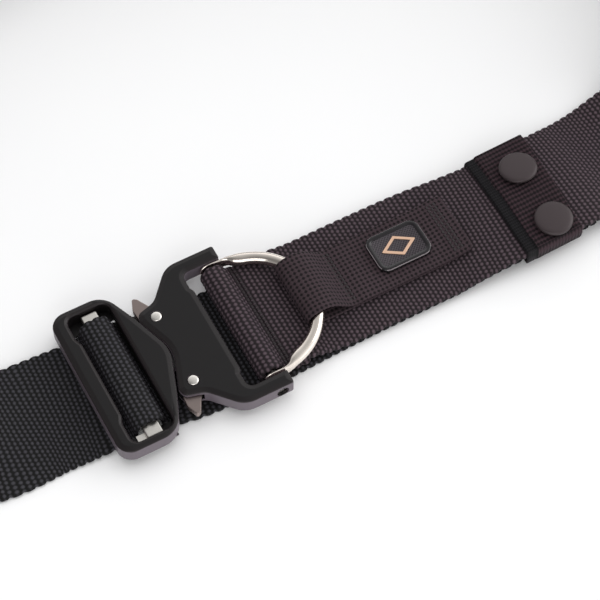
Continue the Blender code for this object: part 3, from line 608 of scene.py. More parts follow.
@dataclass
class Band:
    """A length of webbing laid along rows of (x, y, lift, roll, dip, width)."""

    name: str
    rows: list
    thick: float
    first: int = 0
    last: int = -1
    lobe: float = 0.75
    pitch: float = 0.6
    pattern: Pattern = HEAVY
    relief: float = 0.3
    edge: float = 1.3
    shift: tuple[float, float] | None = None

    def stations(self) -> list[Row]:
        """Return the sampled rows, moved outwards where this band is spliced to another."""
        last = self.last if self.last > 0 else len(self.rows) - 1
        samples = spline(self.rows, self.first, last, self.pitch)
        if self.shift is None:
            return [row for _, row in samples]
        start, reach = self.shift
        moved = []
        for index, (position, row) in enumerate(samples):
            part = max(0.0, min(1.0, position - start + 1.0))
            ahead = samples[min(index + 1, len(samples) - 1)][1]
            behind = samples[max(index - 1, 0)][1]
            run = Vector((ahead[0] - behind[0], ahead[1] - behind[1])).normalized()
            out = reach * part * part * (3.0 - 2.0 * part)
            moved.append([row[0] + run.y * out, row[1] - run.x * out, *row[2:]])
        return moved

    def frames(self, rows: list[Row]) -> list[tuple]:
        """Turn rows into places with directions.

        Args:
            rows: The sampled rows.

        Returns:
            Each station's place, its direction across, its normal and its row.
        """
        places = []
        for x, y, lift, roll, _, width in rows:
            angle = math.radians(roll)
            places.append(Vector((x, y, lift + self.thick / 2 * math.cos(angle)
                                  + width / 2 * math.sin(angle))))
        result = []
        for index, row in enumerate(rows):
            ahead = places[min(index + 1, len(places) - 1)]
            behind = places[max(index - 1, 0)]
            forward = (ahead - behind).normalized()
            roll = math.radians(row[3])
            level = Vector((-forward.y, forward.x, 0.0))
            if abs(roll) < 0.02 and forward.x < 0.5:
                level = Vector((0.0, 1.0, 0.0))
            level.normalize()
            across = level * math.cos(roll) + Vector((0.0, 0.0, math.sin(roll)))
            across = (across - forward * across.dot(forward)).normalized()
            result.append((places[index], across, forward.cross(across), row))
        return result

    def height(self, u: float, v: float) -> float:
        """Return how far the weave stands above its middle, from -0.5 to 0.5 of its relief.

        Args:
            u: Place along the webbing in millimetres.
            v: Place across it in millimetres.

        Returns:
            The height as a part of the relief.
        """
        along, across = TURN * u / self.pattern.along, TURN * v / self.pattern.across
        if self.pattern.weave is Weave.PITTED:
            return -0.25 * (math.cos(along) + math.cos(across))
        columns = math.cos(2.0 * along)
        knuckles = KNUCKLE * math.cos(along) * math.cos(across / 2.0)
        return (columns + knuckles + 1.0) / (2.0 + KNUCKLE) - 0.5

    def grid(self) -> Point:
        """Return the mesh's spacing: two points to a knuckle and four to a pit, each way."""
        pits = self.pattern.weave is Weave.PITTED
        return self.pattern.along / 4.0, self.pattern.across / (4.0 if pits else 1.0)

    def section(self, width: float, dip: float, lobe: float, run: float) -> list[tuple]:
        """Return a cross-section whose edges are round and stand out by the lobe.

        Args:
            width: The band's width.
            dip: How far its far edge hangs.
            lobe: How far the edge stands out here.
            run: Place along the webbing.

        Returns:
            Points as (across, along the normal, place across in the weave).
        """
        half, rise = width / 2 - self.lobe * 0.85 + lobe, self.thick / 2
        # A squeezed webbing keeps its number of warp threads, and they lie closer.
        inner, step = width / 2 - self.edge, self.grid()[1]
        count = math.floor((self.rows[0][5] / 2 - self.edge) / step)
        squeeze = inner / (count * step)
        spots = [index * step for index in range(-count, count + 1)]
        middle = [(v * squeeze, rise + self.relief * self.height(run, v), v) for v in spots]
        edge = [(inner + (half - inner) * math.sin(math.radians(a)),
                 rise * math.cos(math.radians(a)) ** 0.8) for a in (30.0, 60.0)]
        right = edge + [(half, 0.0)] + [(v, -n) for v, n in reversed(edge)]
        right = [(v, n, v / squeeze) for v, n in right]
        ring = middle + right + [(v, -n, w) for v, n, w in reversed(middle)]
        ring += [(-v, -n, -w) for v, n, w in right]
        return [(v, n + dip_rise(v, dip), w) for v, n, w in ring]

    def evenly(self, stations: list[tuple]) -> list[tuple]:
        """Return the stations again at even distances, so that each column of knuckles has one.

        Args:
            stations: Places with their directions and rows.

        Returns:
            Stations as (run, place, across, normal, row).
        """
        runs = [0.0]
        for first, second in zip(stations, stations[1:]):
            runs.append(runs[-1] + (second[0] - first[0]).length)
        step, index, result = self.grid()[0], 0, []
        for run in [step * k for k in range(math.floor(runs[-1] / step))] + [runs[-1]]:
            while index < len(runs) - 2 and runs[index + 1] < run:
                index += 1
            part = (run - runs[index]) / (runs[index + 1] - runs[index])
            before, after = stations[index], stations[index + 1]
            vectors = [a.lerp(b, part) for a, b in zip(before[:3], after[:3])]
            row = [a + (b - a) * part for a, b in zip(before[3], after[3])]
            result.append((run, *vectors, row))
        return result

    def build(self) -> Piece:
        """Return the webbing with its length and width as its UV map, in metres."""
        rings = []
        for run, place, across, normal, row in self.evenly(self.frames(self.stations())):
            lobe = self.lobe * abs(math.sin(math.pi * run / self.pattern.along)) ** 0.6
            dip = math.copysign(row[4], normal.z) if abs(normal.z) > 1e-6 else 0.0
            section = self.section(row[5], dip, lobe, run)
            spots = [spot for _, _, spot in section]
            rings.append(([place + across * v + normal * n for v, n, _ in section],
                          spots + spots[:1], run))
        LOG.info("%s: %.0f mm long", self.name, rings[-1][2])
        return skin(self.name, rings, closed=False)


def deselect() -> None:
    """Leave edit mode and deselect everything."""
    if bpy.context.object and bpy.context.object.mode != "OBJECT":
        bpy.ops.object.mode_set(mode="OBJECT")
    bpy.ops.object.select_all(action="DESELECT")


def only(obj: Piece) -> None:
    """Select one object and make it active.

    Args:
        obj: The object.
    """
    deselect()
    obj.select_set(True)
    bpy.context.view_layer.objects.active = obj


def consistent(obj: Piece) -> None:
    """Merge an object's doubles and point its faces outwards.

    Args:
        obj: The object.
    """
    only(obj)
    bpy.ops.object.mode_set(mode="EDIT")
    bpy.ops.mesh.select_all(action="SELECT")
    bpy.ops.mesh.remove_doubles(threshold=1e-6)
    bpy.ops.mesh.normals_make_consistent(inside=False)
    bpy.ops.object.mode_set(mode="OBJECT")


def finish_edges(obj: Piece, width: float = 0.0) -> None:
    """Round an object's sharp edges with an applied bevel and shade it smooth.

    Args:
        obj: The piece.
        width: The rounding in millimetres, or 0 for none.
    """
    only(obj)
    if width > 0.0:
        modifier = obj.modifiers.new("rounding", "BEVEL")
        modifier.width = width * MM
        modifier.segments = 2
        modifier.limit_method = "ANGLE"
        modifier.angle_limit = math.radians(28.0)
        bpy.ops.object.modifier_apply(modifier="rounding")
    bpy.ops.object.shade_smooth_by_angle(angle=math.radians(38.0))
    weights = obj.modifiers.new("weights", "WEIGHTED_NORMAL")
    weights.keep_sharp = True
    bpy.ops.object.modifier_apply(modifier="weights")


def cut(obj: Piece, cutter: Piece, operation: str = "DIFFERENCE") -> None:
    """Apply an exact boolean and remove its cutter.

    Args:
        obj: The piece.
        cutter: The other shape.
        operation: Blender's name of the boolean.
    """
    only(obj)
    modifier = obj.modifiers.new("cut", "BOOLEAN")
    modifier.operation, modifier.object, modifier.solver = operation, cutter, "EXACT"
    bpy.ops.object.modifier_apply(modifier="cut")
    bpy.data.objects.remove(cutter, do_unlink=True)


@dataclass
class Outline:
    """A closed outline of corners (x, y, radius), which can be set in or out evenly."""

    corners: list
    arc: float = 7.5

    def offset(self, inset: float) -> list[Point]:
        """Return the outline's points after it is moved inwards.

        Args:
            inset: Distance inwards in millimetres; outwards where it is negative.

        Returns:
            The points, always the same number for one outline.
        """
        count = len(self.corners)
        area = sum(a[0] * b[1] - b[0] * a[1]
                   for a, b in zip(self.corners, self.corners[1:] + self.corners[:1]))
        turn_way = 1.0 if area > 0 else -1.0
        points = []
        for index, (x, y, radius) in enumerate(self.corners):
            corner = Vector((x, y))
            before = (corner - Vector(self.corners[index - 1][:2])).normalized()
            after = (Vector(self.corners[(index + 1) % count][:2]) - corner).normalized()
            cross = before.x * after.y - before.y * after.x
            convex = cross * turn_way > 0
            turn = math.acos(max(-1.0, min(1.0, before.dot(after))))
            inward = Vector((-after.y, after.x)) * turn_way
            inward_before = Vector((-before.y, before.x)) * turn_way
            moved = corner + (inward + inward_before) * (inset / (1.0 + math.cos(turn)))
            bend = max(0.04, radius - inset if convex else radius + inset)
            tangent = bend * math.tan(turn / 2)
            start = moved - before * tangent
            side = inward_before if convex else -inward_before
            centre = start + side * bend
            steps = max(1, math.ceil(math.degrees(turn) / self.arc)) if radius > 0.0 else 1
            sign = 1.0 if cross > 0 else -1.0
            arm = start - centre
            for step in range(steps + 1):
                angle = sign * turn * step / steps
                points.append((centre.x + arm.x * math.cos(angle) - arm.y * math.sin(angle),
                               centre.y + arm.x * math.sin(angle) + arm.y * math.cos(angle)))
        return points

    def moved(self, x: float, y: float) -> "Outline":
        """Return the outline moved by a distance."""
        return Outline([(cx + x, cy + y, r) for cx, cy, r in self.corners], self.arc)


def mirrored(half: list) -> list:
    """Close a half outline by its mirror image across y = 0."""
    return half + [(x, -y, r) for x, y, r in reversed(half) if y > 0.0]


def named(name: str) -> Piece:
    """Name the object that was made last, with its mesh.

    Args:
        name: The name.

    Returns:
        The object.
    """
    obj = bpy.context.object
    obj.name = obj.data.name = name
    return obj


def disc(name: str, sides: int, radius: float) -> Piece:
    """Make a flat disc.

    Args:
        name: The piece's name.
        sides: Corners round it.
        radius: Its radius in millimetres.

    Returns:
        The disc.
    """
    deselect()
    bpy.ops.mesh.primitive_circle_add(vertices=sides, radius=radius * MM, fill_type="NGON",
                                      location=(0.0, 0.0, 0.0))
    return named(name)


def extruded(obj: Piece) -> list[bpy.types.MeshVertex]:
    """Extrude an object's selected face in place.

    Args:
        obj: The object.

    Returns:
        The new face's corners.
    """
    bpy.ops.object.mode_set(mode="EDIT")
    bpy.ops.mesh.extrude_region_move()
    bpy.ops.object.mode_set(mode="OBJECT")
    return [vert for vert in obj.data.vertices if vert.select]


def box(name: str, size: Place, middle: Place) -> Piece:
    """Make a box.

    Args:
        name: The piece's name.
        size: Its sides in millimetres.
        middle: Its middle in millimetres.

    Returns:
        The box.
    """
    deselect()
    bpy.ops.mesh.primitive_cube_add(size=1.0, location=(0.0, 0.0, 0.0))
    obj = named(name)
    for vert in obj.data.vertices:
        vert.co = [(c * s + m) * MM for c, s, m in zip(vert.co, size, middle)]
    return obj


def lofted(name: str, outline: Outline, profile: list[Point]) -> Piece:
    """Raise an outline through a profile, as a plate with shaped rims.

    Args:
        name: The piece's name.
        outline: The outline.
        profile: Rows of (inset, height) from the lower face to the upper one.

    Returns:
        The closed plate.
    """
    rings = [outline.offset(inset) for inset, _ in profile]
    obj = disc(name, len(rings[0]), 1.0)
    for vert, (x, y) in zip(obj.data.vertices, rings[0]):
        vert.co = (x * MM, y * MM, profile[0][1] * MM)
    for ring, (_, height) in zip(rings[1:], profile[1:]):
        for vert, (x, y) in zip(extruded(obj), ring):
            vert.co = (x * MM, y * MM, height * MM)
    bpy.ops.object.mode_set(mode="EDIT")
    bpy.ops.mesh.select_all(action="SELECT")
    bpy.ops.mesh.normals_make_consistent(inside=False)
    bpy.ops.object.mode_set(mode="OBJECT")
    return obj


def round_bar(name: str, centre: Place, axis: str, radius: float,
              length: float, sides: int = 48) -> Piece:
    """Make a cylinder whose place and turn are in its mesh.

    Args:
        name: The piece's name.
        centre: Its middle in millimetres.
        axis: X, Y or Z.
        radius: Its radius in millimetres.
        length: Its length in millimetres.
        sides: Faces round it.

    Returns:
        The cylinder.
    """
    deselect()
    turn = {"X": (0.0, math.pi / 2, 0.0), "Y": (math.pi / 2, 0.0, 0.0), "Z": (0.0, 0.0, 0.0)}
    bpy.ops.mesh.primitive_cylinder_add(vertices=sides, radius=radius * MM, depth=length * MM,
                                        location=[c * MM for c in centre], rotation=turn[axis])
    bpy.ops.object.transform_apply(location=True, rotation=True, scale=True)
    return named(name)


def domed(name: str, profile: list[Point], centre: Place,
          tilt: float = 0.0, sides: int = 64) -> Piece:
    """Make a round piece from rows of (radius, height), closed by a crown.

    Args:
        name: The piece's name.
        profile: The rows from the base up; the last is the crown's middle.
        centre: Its base's middle in millimetres.
        tilt: Its turn about X in radians.
        sides: Faces round it.

    Returns:
        The piece.
    """
    radius = profile[0][0]
    obj = disc(name, sides, radius)
    for vert in obj.data.vertices:
        vert.co.z = profile[0][1] * MM
    for next_radius, height in profile[1:]:
        # The crown ends in a ring too small to see, which merging its doubles closes.
        ratio = max(next_radius, 0.02) / radius
        for vert in extruded(obj):
            vert.co = (vert.co.x * ratio, vert.co.y * ratio, height * MM)
        radius = max(next_radius, 0.02)
    matrix = (Matrix.Translation([c * MM for c in centre]) @ Matrix.Rotation(tilt, 4, "X"))
    obj.data.transform(matrix)
    consistent(obj)
    bpy.ops.object.shade_smooth_by_angle(angle=math.radians(40.0))
    return obj


def join(name: str, pieces: list[Piece]) -> Piece:
    """Join meshes into one piece.

    Args:
        name: The piece's name.
        pieces: The meshes.

    Returns:
        The piece.
    """
    only(pieces[0])
    for piece in pieces[1:]:
        piece.select_set(True)
    bpy.ops.object.join()
    return named(name)


def place(obj: Piece, body: str, slot: str, *nodes: str) -> None:
    """Ride a piece on its body and hide the nodes it stands for.

    Args:
        obj: The piece.
        body: The body that it moves with.
        slot: The record's material slot; not used.
        nodes: The CAD nodes that it replaces.
    """
    if nodes:
        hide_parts(*nodes)
    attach(obj, body)
    LOG.info("%s: %d faces", obj.name, len(obj.data.polygons))


@dataclass
class Layout:
    """The places that several pieces share."""

    buckle_x: float = 0.5
    frame_y: float = 1.5
    body_y: float = 0.5
    gap: float = 0.3
    belt_thick: float = 2.2
    strap_thick: float = 1.8
    belt_lift: float = 2.1
    keeper_y: float = -1.2
    keeper_turn: float = 0.03
    keeper_dip: float = 3.0
    keeper_tail_lift: float = 1.6
    keeper_belt_lift: float = 3.7
    ring_keeper_y: float = 0.7
    bar_x: float = 20.9
    bar_z: float = 7.5
    bottom: float = 4.4
    top: float = 12.0
    rivet_x: float = -6.5
    rivet_y: float = 15.0
    splice_from: int = 13
    splice_to: int = 14
    splice_shift: float = 2.3
    loop: list = field(default_factory=lambda: [
        # x, y, roll
        (188.0, 2.2, 2.0),
        (211.0, 6.3, 11.0),
        (233.0, 16.0, 37.0),
        (251.0, 33.0, 66.0),
        (262.5, 57.0, 85.0),
        (265.5, 88.0, 90.0),
        (258.0, 121.0, 90.0),
        (240.0, 150.0, 90.0),
        (212.0, 173.0, 90.0),
        (176.0, 189.0, 90.0),
        (134.0, 198.0, 90.0),
        (90.0, 202.0, 90.0),
        (45.0, 202.0, 90.0),
        (0.0, 197.0, 90.0),
        (-43.0, 187.0, 90.0),
        (-82.0, 170.0, 90.0),
        (-115.0, 145.0, 90.0),
        (-137.0, 114.0, 90.0),
        (-145.5, 82.0, 90.0),
        (-141.5, 54.0, 84.0),
        (-132.0, 33.0, 66.0),
        (-118.5, 17.0, 40.0),
        (-101.0, 7.3, 17.0),
    ])

    def over_belt(self) -> float:
        """Return the height at which a layer on the flat belt starts."""
        return self.belt_lift + self.belt_thick + self.gap

    def loop_rows(self, first: int, last: int, width: float) -> list[tuple]:
        """Return the loop's rows from first to last for a band of this width."""
        return [(x, y, 0.0, roll, 0.0, width) for x, y, roll in self.loop[first:last + 1]]


@dataclass
class Assembly:
    """What the belt's sub-assemblies share: common places and the materials."""

    layout: Layout
    finishes: Finishes


@dataclass
class MainBelt(Assembly):
    """The heavy belt: wrapped round the bar, run along the front and round the back."""

    wrap_width: float = 49.0
    width: float = 49.6
    keeper_width: float = 47.4
    return_layer_x: tuple = (37.0, 32.0, 26.0)
    wrap_gap: float = 0.7
    wrap_step: int = 30
    wrap_back: float = 0.1
    wrap_drop: float = 0.9
    bar_radius: float = 2.1

    def front(self) -> list[tuple]:
        """Return the front's rows of (x, y, lift, dip, width)."""
        lay = self.layout
        held = (lay.keeper_belt_lift, lay.keeper_dip, self.keeper_width)
        turn = lay.keeper_turn
        return [
            (26.4, lay.body_y, 4.95, 0.0, self.wrap_width),
            (28.2, lay.body_y, 4.4, 0.0, self.wrap_width),
            (31.8, lay.body_y, 4.9, 0.0, self.wrap_width),
            (38.0, lay.body_y, 4.75, 0.0, self.wrap_width),
            (44.5, 0.5, 3.1, 0.0, self.width),
            (51.0, 0.4, lay.belt_lift, 0.0, self.width),
            (75.0, 0.3, lay.belt_lift, 0.0, self.width),
            (100.0, -0.1, lay.belt_lift, 0.0, self.width),
            (115.0, -1.0, 2.9, 1.7, self.keeper_width + 0.8),
            (128.0, lay.keeper_y - 16.0 * turn, *held),
            (144.0, lay.keeper_y, *held),
            (161.0, lay.keeper_y + 17.0 * turn, *held),
            (174.0, 0.4, 1.5, 1.2, 48.8),
        ]

    def build(self) -> None:
        """Make the belt."""
        lay = self.layout
        radius = self.bar_radius + self.wrap_gap + lay.belt_thick / 2
        middle, wide = lay.body_y, self.wrap_width
        rows = [(x, middle, lay.belt_lift, 0.0, 0.0, wide) for x in self.return_layer_x]
        for degrees in range(-90, -331, -self.wrap_step):
            angle = math.radians(degrees)
            rows.append((lay.bar_x - self.wrap_back + radius * math.cos(angle), middle,
                         lay.bar_z + radius * math.sin(angle) - lay.belt_thick / 2,
                         0.0, 0.0, wide))
        rows.append((lay.bar_x + radius, middle, lay.bar_z - self.wrap_drop, 0.0, 0.0, wide))
        rows += [(x, y, lift, 0.0, dip, width) for x, y, lift, dip, width in self.front()]
        before = len(rows)
        rows += lay.loop_rows(0, lay.splice_to + 1, self.width)
        belt = Band("belt_webbing", rows, lay.belt_thick, 0, before + lay.splice_to,
                    shift=(before + lay.splice_from, lay.splice_shift)).build()
        self.finishes.dress(belt, "belt")
        place(belt, BODY, "belt_webbing", "main_belt")


@dataclass
class AdjustingStrap(Assembly):
    """The strap that climbs over the slide bar and runs on as the tail."""

    width: float = 48.0
    left: float = 48.6
    tail: float = 46.4

    def front(self) -> list[tuple]:
        """Return the front's rows of (x, y, lift, dip, roll, width)."""
        lay = self.layout
        y, wide, turn = lay.frame_y + 0.3, self.width, lay.keeper_turn
        held = (lay.keeper_tail_lift, lay.keeper_dip, 0.0, self.tail)
        climb = [(-40.5, 1.0), (-37.1, 1.3), (-34.6, 2.5), (-33.3, 4.7), (-32.7, 7.7),
                 (-31.5, 9.6), (-29.3, 10.3), (-26.2, 10.3), (-24.0, 9.6), (-22.8, 8.0),
                 (-22.2, 5.2), (-21.3, 2.7), (-19.1, 1.0)]
        return [
            (-80.0, 2.9, 0.0, 0.0, 6.0, self.left),
            (-60.0, 3.1, 0.0, 0.0, 1.0, self.left),
            (-48.0, y + 0.7, 0.6, 0.0, 0.0, self.left),
            *[(x, y, lift, 0.0, 0.0, wide) for x, lift in climb],
            (-13.5, 0.6, 0.3, 0.0, 0.0, wide),
            (-6.0, -0.7, 0.0, 0.0, 0.0, wide),
            (20.0, -1.5, 0.0, 0.0, 0.0, wide),
            (51.0, -0.5, 0.0, 0.0, 0.0, wide),
            (75.0, -0.1, 0.0, 0.0, 0.0, wide),
            (100.0, -0.1, 0.0, 0.0, 0.0, wide),
            (115.0, -1.0, 0.7, 1.7, 0.0, self.tail),
            (128.0, lay.keeper_y - 16.0 * turn, *held),
            (144.0, lay.keeper_y, *held),
            (159.5, lay.keeper_y + 15.5 * turn, *held),
        ]

    def build(self) -> None:
        """Make the strap."""
        lay = self.layout
        rows = lay.loop_rows(lay.splice_from - 1, len(lay.loop) - 1, self.width)
        rows += [(x, y, lift, roll, dip, width)
                 for x, y, lift, dip, roll, width in self.front()]
        strap = Band("strap_webbing", rows, lay.strap_thick, 1).build()
        self.finishes.dress(strap, "strap")
        place(strap, BODY, "strap_webbing", "adjusting_strap")


@dataclass
class RingKeeper(Assembly):
    """The narrow strap folded round the ring, with the badge on it."""

    width: float = 26.5
    thick: float = 1.2
    end_x: float = 112.6

    def rows(self) -> list[tuple]:
        """Return the strap's rows, from its lower layer round the ring and back."""
        low = self.layout.over_belt()
        lifted = [
            # x, lift, dip
            (112.0, low + 0.6, 1.3),
            (100.0, low, 0.0),
            (75.0, low, 0.0),
            (57.0, low, 0.0),
            (51.5, 4.75, 0.0),
            (46.8, 5.55, 0.0),
            (44.1, 6.5, 0.0),
            (42.3, 8.2, 0.0),
            (42.0, 10.2, 0.0),
            (43.2, 12.2, 0.0),
            (45.9, 13.5, 0.0),
            (49.9, 13.8, 0.0),
            (53.7, 12.3, 0.0),
            (56.7, 9.6, 0.0),
            (59.4, 7.2, 0.0),
            (62.0, low + 1.5, 0.0),
            (67.0, low + 1.8, 0.0),
            (75.0, low + 1.5, 0.0),
            (100.0, low + 1.5, 0.0),
            (self.end_x - 1.6, low + 2.05, 1.3),
            (self.end_x - 0.6, low + 2.1, 1.4),
            (self.end_x, low + 2.12, 1.45),
        ]
        narrower = {self.end_x - 0.6: 0.8, self.end_x: 2.6}
        return [(x, self.layout.ring_keeper_y, lift, 0.0, dip, self.width - narrower.get(x, 0.0))
                for x, lift, dip in lifted]

    def build(self) -> None:
        """Make the strap."""
        keeper = Band("ring_keeper_webbing", self.rows(), self.thick, lobe=0.15, pitch=0.5,
                      pattern=PITS, relief=0.22, edge=0.9).build()
        self.finishes.dress(keeper, "keeper")
        place(keeper, BODY, "keeper_webbing", "ring_keeper")


@dataclass
class Seams(Assembly):
    """Rows of stitches: behind the wrap's roll, behind the ring and at the keeper's end."""

    stitch: Point = (0.95, 1.45)
    corner: float = 0.25
    pitch: float = 1.75
    sunk: float = 0.14
    askew: float = 0.08
    wrap_width: float = 45.0
    keeper_width: float = 23.0

    def row(self, name: str, x: float, middle: float, width: float, z: float,
            dip: float) -> Piece:
        """Make one row of stitches across a webbing.

        Args:
            name: The row's name.
            x: Its place along the belt.
            middle: The webbing's middle in Y.
            width: The row's length.
            z: The webbing's upper face there.
            dip: How far its far edge hangs.

        Returns:
            The row as one piece.
        """
        a, b = self.stitch[0] / 2, self.stitch[1] / 2
        r = self.corner
        shape = Outline([(a, -b, r), (a, b, r), (-a, b, r), (-a, -b, r)], 30.0)
        first = lofted(name, shape, [(0.0, 0.0), (0.0, 0.2), (0.1, 0.34), (0.2, 0.38)])
        only(first)
        bpy.ops.object.shade_smooth_by_angle(angle=math.radians(60.0))
        count = round(width / self.pitch)
        pieces = []
        for index in range(count):
            across = self.pitch * (index - (count - 1) / 2)
            piece = first.copy()
            piece.data = first.data.copy()
            bpy.context.collection.objects.link(piece)
            spot = Vector((x, middle + across, z - self.sunk + dip_rise(across, dip)))
            piece.data.transform(Matrix.Translation(spot * MM)
                                 @ Matrix.Rotation(self.askew, 4, "Z"))
            pieces.append(piece)
        bpy.data.objects.remove(first, do_unlink=True)
        return join(name, pieces)

    def build(self) -> None:
        """Make every row that shows."""
        low = self.layout.over_belt()
        wrap = (self.layout.body_y, self.wrap_width, "belt_webbing")
        keeper = (self.layout.ring_keeper_y, self.keeper_width, "keeper_webbing")
        rows = [
            # name, x, z, dip, what it crosses
            # Behind the wrap's roll the two dark rows are a seam and also stand in for the shade
            # in the valley there: partly painted shade.
            ("wrap_seam_and_shade_inner", 27.7, 6.68, 0.0, wrap),
            ("wrap_seam_and_shade_outer", 29.1, 6.68, 0.0, wrap),
            ("ring_seam_inner", 61.2, low + 2.83, 0.0, keeper),
            ("ring_seam_outer", 62.6, low + 2.78, 0.0, keeper),
            ("end_seam_inner", 105.8, low + 2.95, 0.6, keeper),
            ("end_seam_middle", 107.3, low + 3.03, 0.78, keeper),
            ("end_seam_outer", 108.8, low + 3.1, 1.0, keeper),
        ]
        for name, x, z, dip, (middle, width, slot) in rows:
            seam = self.row(name, x, middle, width, z, dip)
            self.finishes.dress(seam, "thread")
            place(seam, BODY, slot)


@dataclass
class Buckle(Assembly):
    """The two halves of the buckle with their bar, rivets and levers."""

    seam: float = 0.6
    pocket: Point = (6.5, 9.9)
    ledge_y: Point = (23.8, 30.0)
    bar_size: Place = (6.5, 56.6, 2.8)
    bar_middle: Point = (-27.75, 8.3)
    foot_y: float = 26.6
    foot_z: float = 6.85
    foot_size: Point = (3.2, 2.7)
    rod: Point = (2.1, 62.8)
    eye_radius: float = 2.4
    rivet_hole: float = 1.6
    rivet_seat: float = 2.35
    lever_hole: float = 1.36

    def rims(self) -> list[Point]:
        """Return a plate's profile: rounded below, a wide shallow bevel above."""
        low, high = self.layout.bottom, self.layout.top
        return [(1.1, low), (0.45, low + 0.2), (0.1, low + 0.6), (0.0, low + 1.2),
                (0.0, high - 1.1), (0.12, high - 0.75), (0.5, high - 0.5),
                (1.9, high - 0.12), (2.15, high)]

    def plate(self, name: str, half: list, y: float, profile: list[Point]) -> Piece:
        """Make a plate that is the same on both sides of the buckle's middle line.

        Args:
            name: The plate's name.
            half: Corners of its half at positive Y, as (x, y, radius).
            y: Its middle in Y.
            profile: Rows of (inset, height) from the lower face to the upper one.

        Returns:
            The plate.
        """
        return lofted(name, Outline(mirrored(half)).moved(self.layout.buckle_x, y), profile)

    def build_frame(self) -> None:
        """Make the insert half with its slot, a ledge at each of its ends and its tongue."""
        lay = self.layout
        half = [(-8.2, 0.0, 14.0), (-14.2, 17.2, 1.5), (-20.5, 31.8, 9.0), (-42.9, 31.8, 6.0)]
        slot_half = [(-20.3, 28.7, 3.5), (-37.1, 28.7, 3.0), (-37.1, 19.5, 1.0),
                     (-35.9, 16.5, 1.5)]
        tongue_half = [(5.4, 3.6, 0.8), (3.9, 6.3, 0.5), (2.1, 4.6, 0.1), (-1.3, 4.6, 0.1),
                       (-1.3, 6.3, 0.4), (-12.0, 6.3, 0.1)]
        body = self.plate("insert_half", half, lay.frame_y, self.rims())
        low, high = lay.bottom, lay.top
        cut(body, self.plate("slot", slot_half, lay.frame_y, [
            (-1.6, low - 0.4), (-0.9, low + 0.1), (-0.2, low + 0.8), (0.0, low + 1.4),
            (0.0, high - 1.5), (-0.15, high - 0.8), (-0.6, high - 0.35), (-1.3, high - 0.05),
            (-2.0, high + 0.4)]))
        for side in SIDES:
            near, far = sorted(lay.frame_y + side * y for y in self.ledge_y)
            ledge = Outline([(-35.9, near, 0.1), (-19.6, near, 0.1), (-19.6, far, 0.1),
                             (-35.9, far, 0.1)])
            cut(body, lofted("ledge", ledge, [(0.0, low + 0.1), (0.0, low + 0.8)]), "UNION")
        floor, roof = self.pocket
        cut(body, self.plate("tongue", tongue_half, lay.body_y, [
            (0.2, floor + 0.3), (0.0, floor + 0.5), (0.0, roof - 0.5), (0.2, roof - 0.3)]),
            "UNION")
        finish_edges(body)
        self.finishes.dress(body, "aluminium", "inside")
        for face in body.data.polygons:
            # The slot's own walls are painted darker than the buckle's outer ones: painted shade
            # inside the slot.
            spot = face.center / MM
            within = -36.9 + lay.buckle_x < spot.x < -19.5 and abs(spot.y - lay.frame_y) < 29.5
            face.material_index = 1 if within and spot.z < lay.top - 0.9 else 0
        place(body, BODY, "black_anodised", "male_frame")

    def build_body(self) -> None:
        """Make the receiving half with its arms, its pocket and its holes."""
        lay = self.layout
        half = [(-8.2 + self.seam, 0.0, 14.4), (-13.3, 15.8, 0.8), (-12.6, 19.2, 2.6),
                (-5.0, 21.3, 7.0), (5.2, 32.7, 9.0), (25.0, 32.7, 0.9), (25.0, 26.9, 0.6),
                (9.4, 26.9, 2.8), (9.4, 20.3, 0.6), (10.3, 18.3, 0.8)]
        body = self.plate("receiving_half", half, lay.body_y, self.rims())
        pocket_half = [(-18.0, 26.0, 0.0), (-6.3, 26.0, 0.0), (-6.3, 21.8, 0.0),
                       (-3.4, 19.4, 0.0), (6.9, 19.4, 0.0)]
        cut(body, self.plate("pocket", pocket_half, lay.body_y,
                             [(0.0, height) for height in self.pocket]))
        cut(body, round_bar("bar_hole", (lay.bar_x, lay.body_y, lay.bar_z), "Y",
                            self.eye_radius, 80.0))
        for side in SIDES:
            spot = (lay.rivet_x, lay.body_y + side * lay.rivet_y)
            cut(body, round_bar("rivet_hole", (*spot, 8.0), "Z", self.rivet_hole, 20.0))
            for height in (lay.top, lay.bottom):
                cut(body, round_bar("rivet_seat", (*spot, height), "Z", self.rivet_seat, 2.2))
        finish_edges(body)
        self.finishes.dress(body, "aluminium")
        place(body, BODY, "black_anodised", "buckle_body")

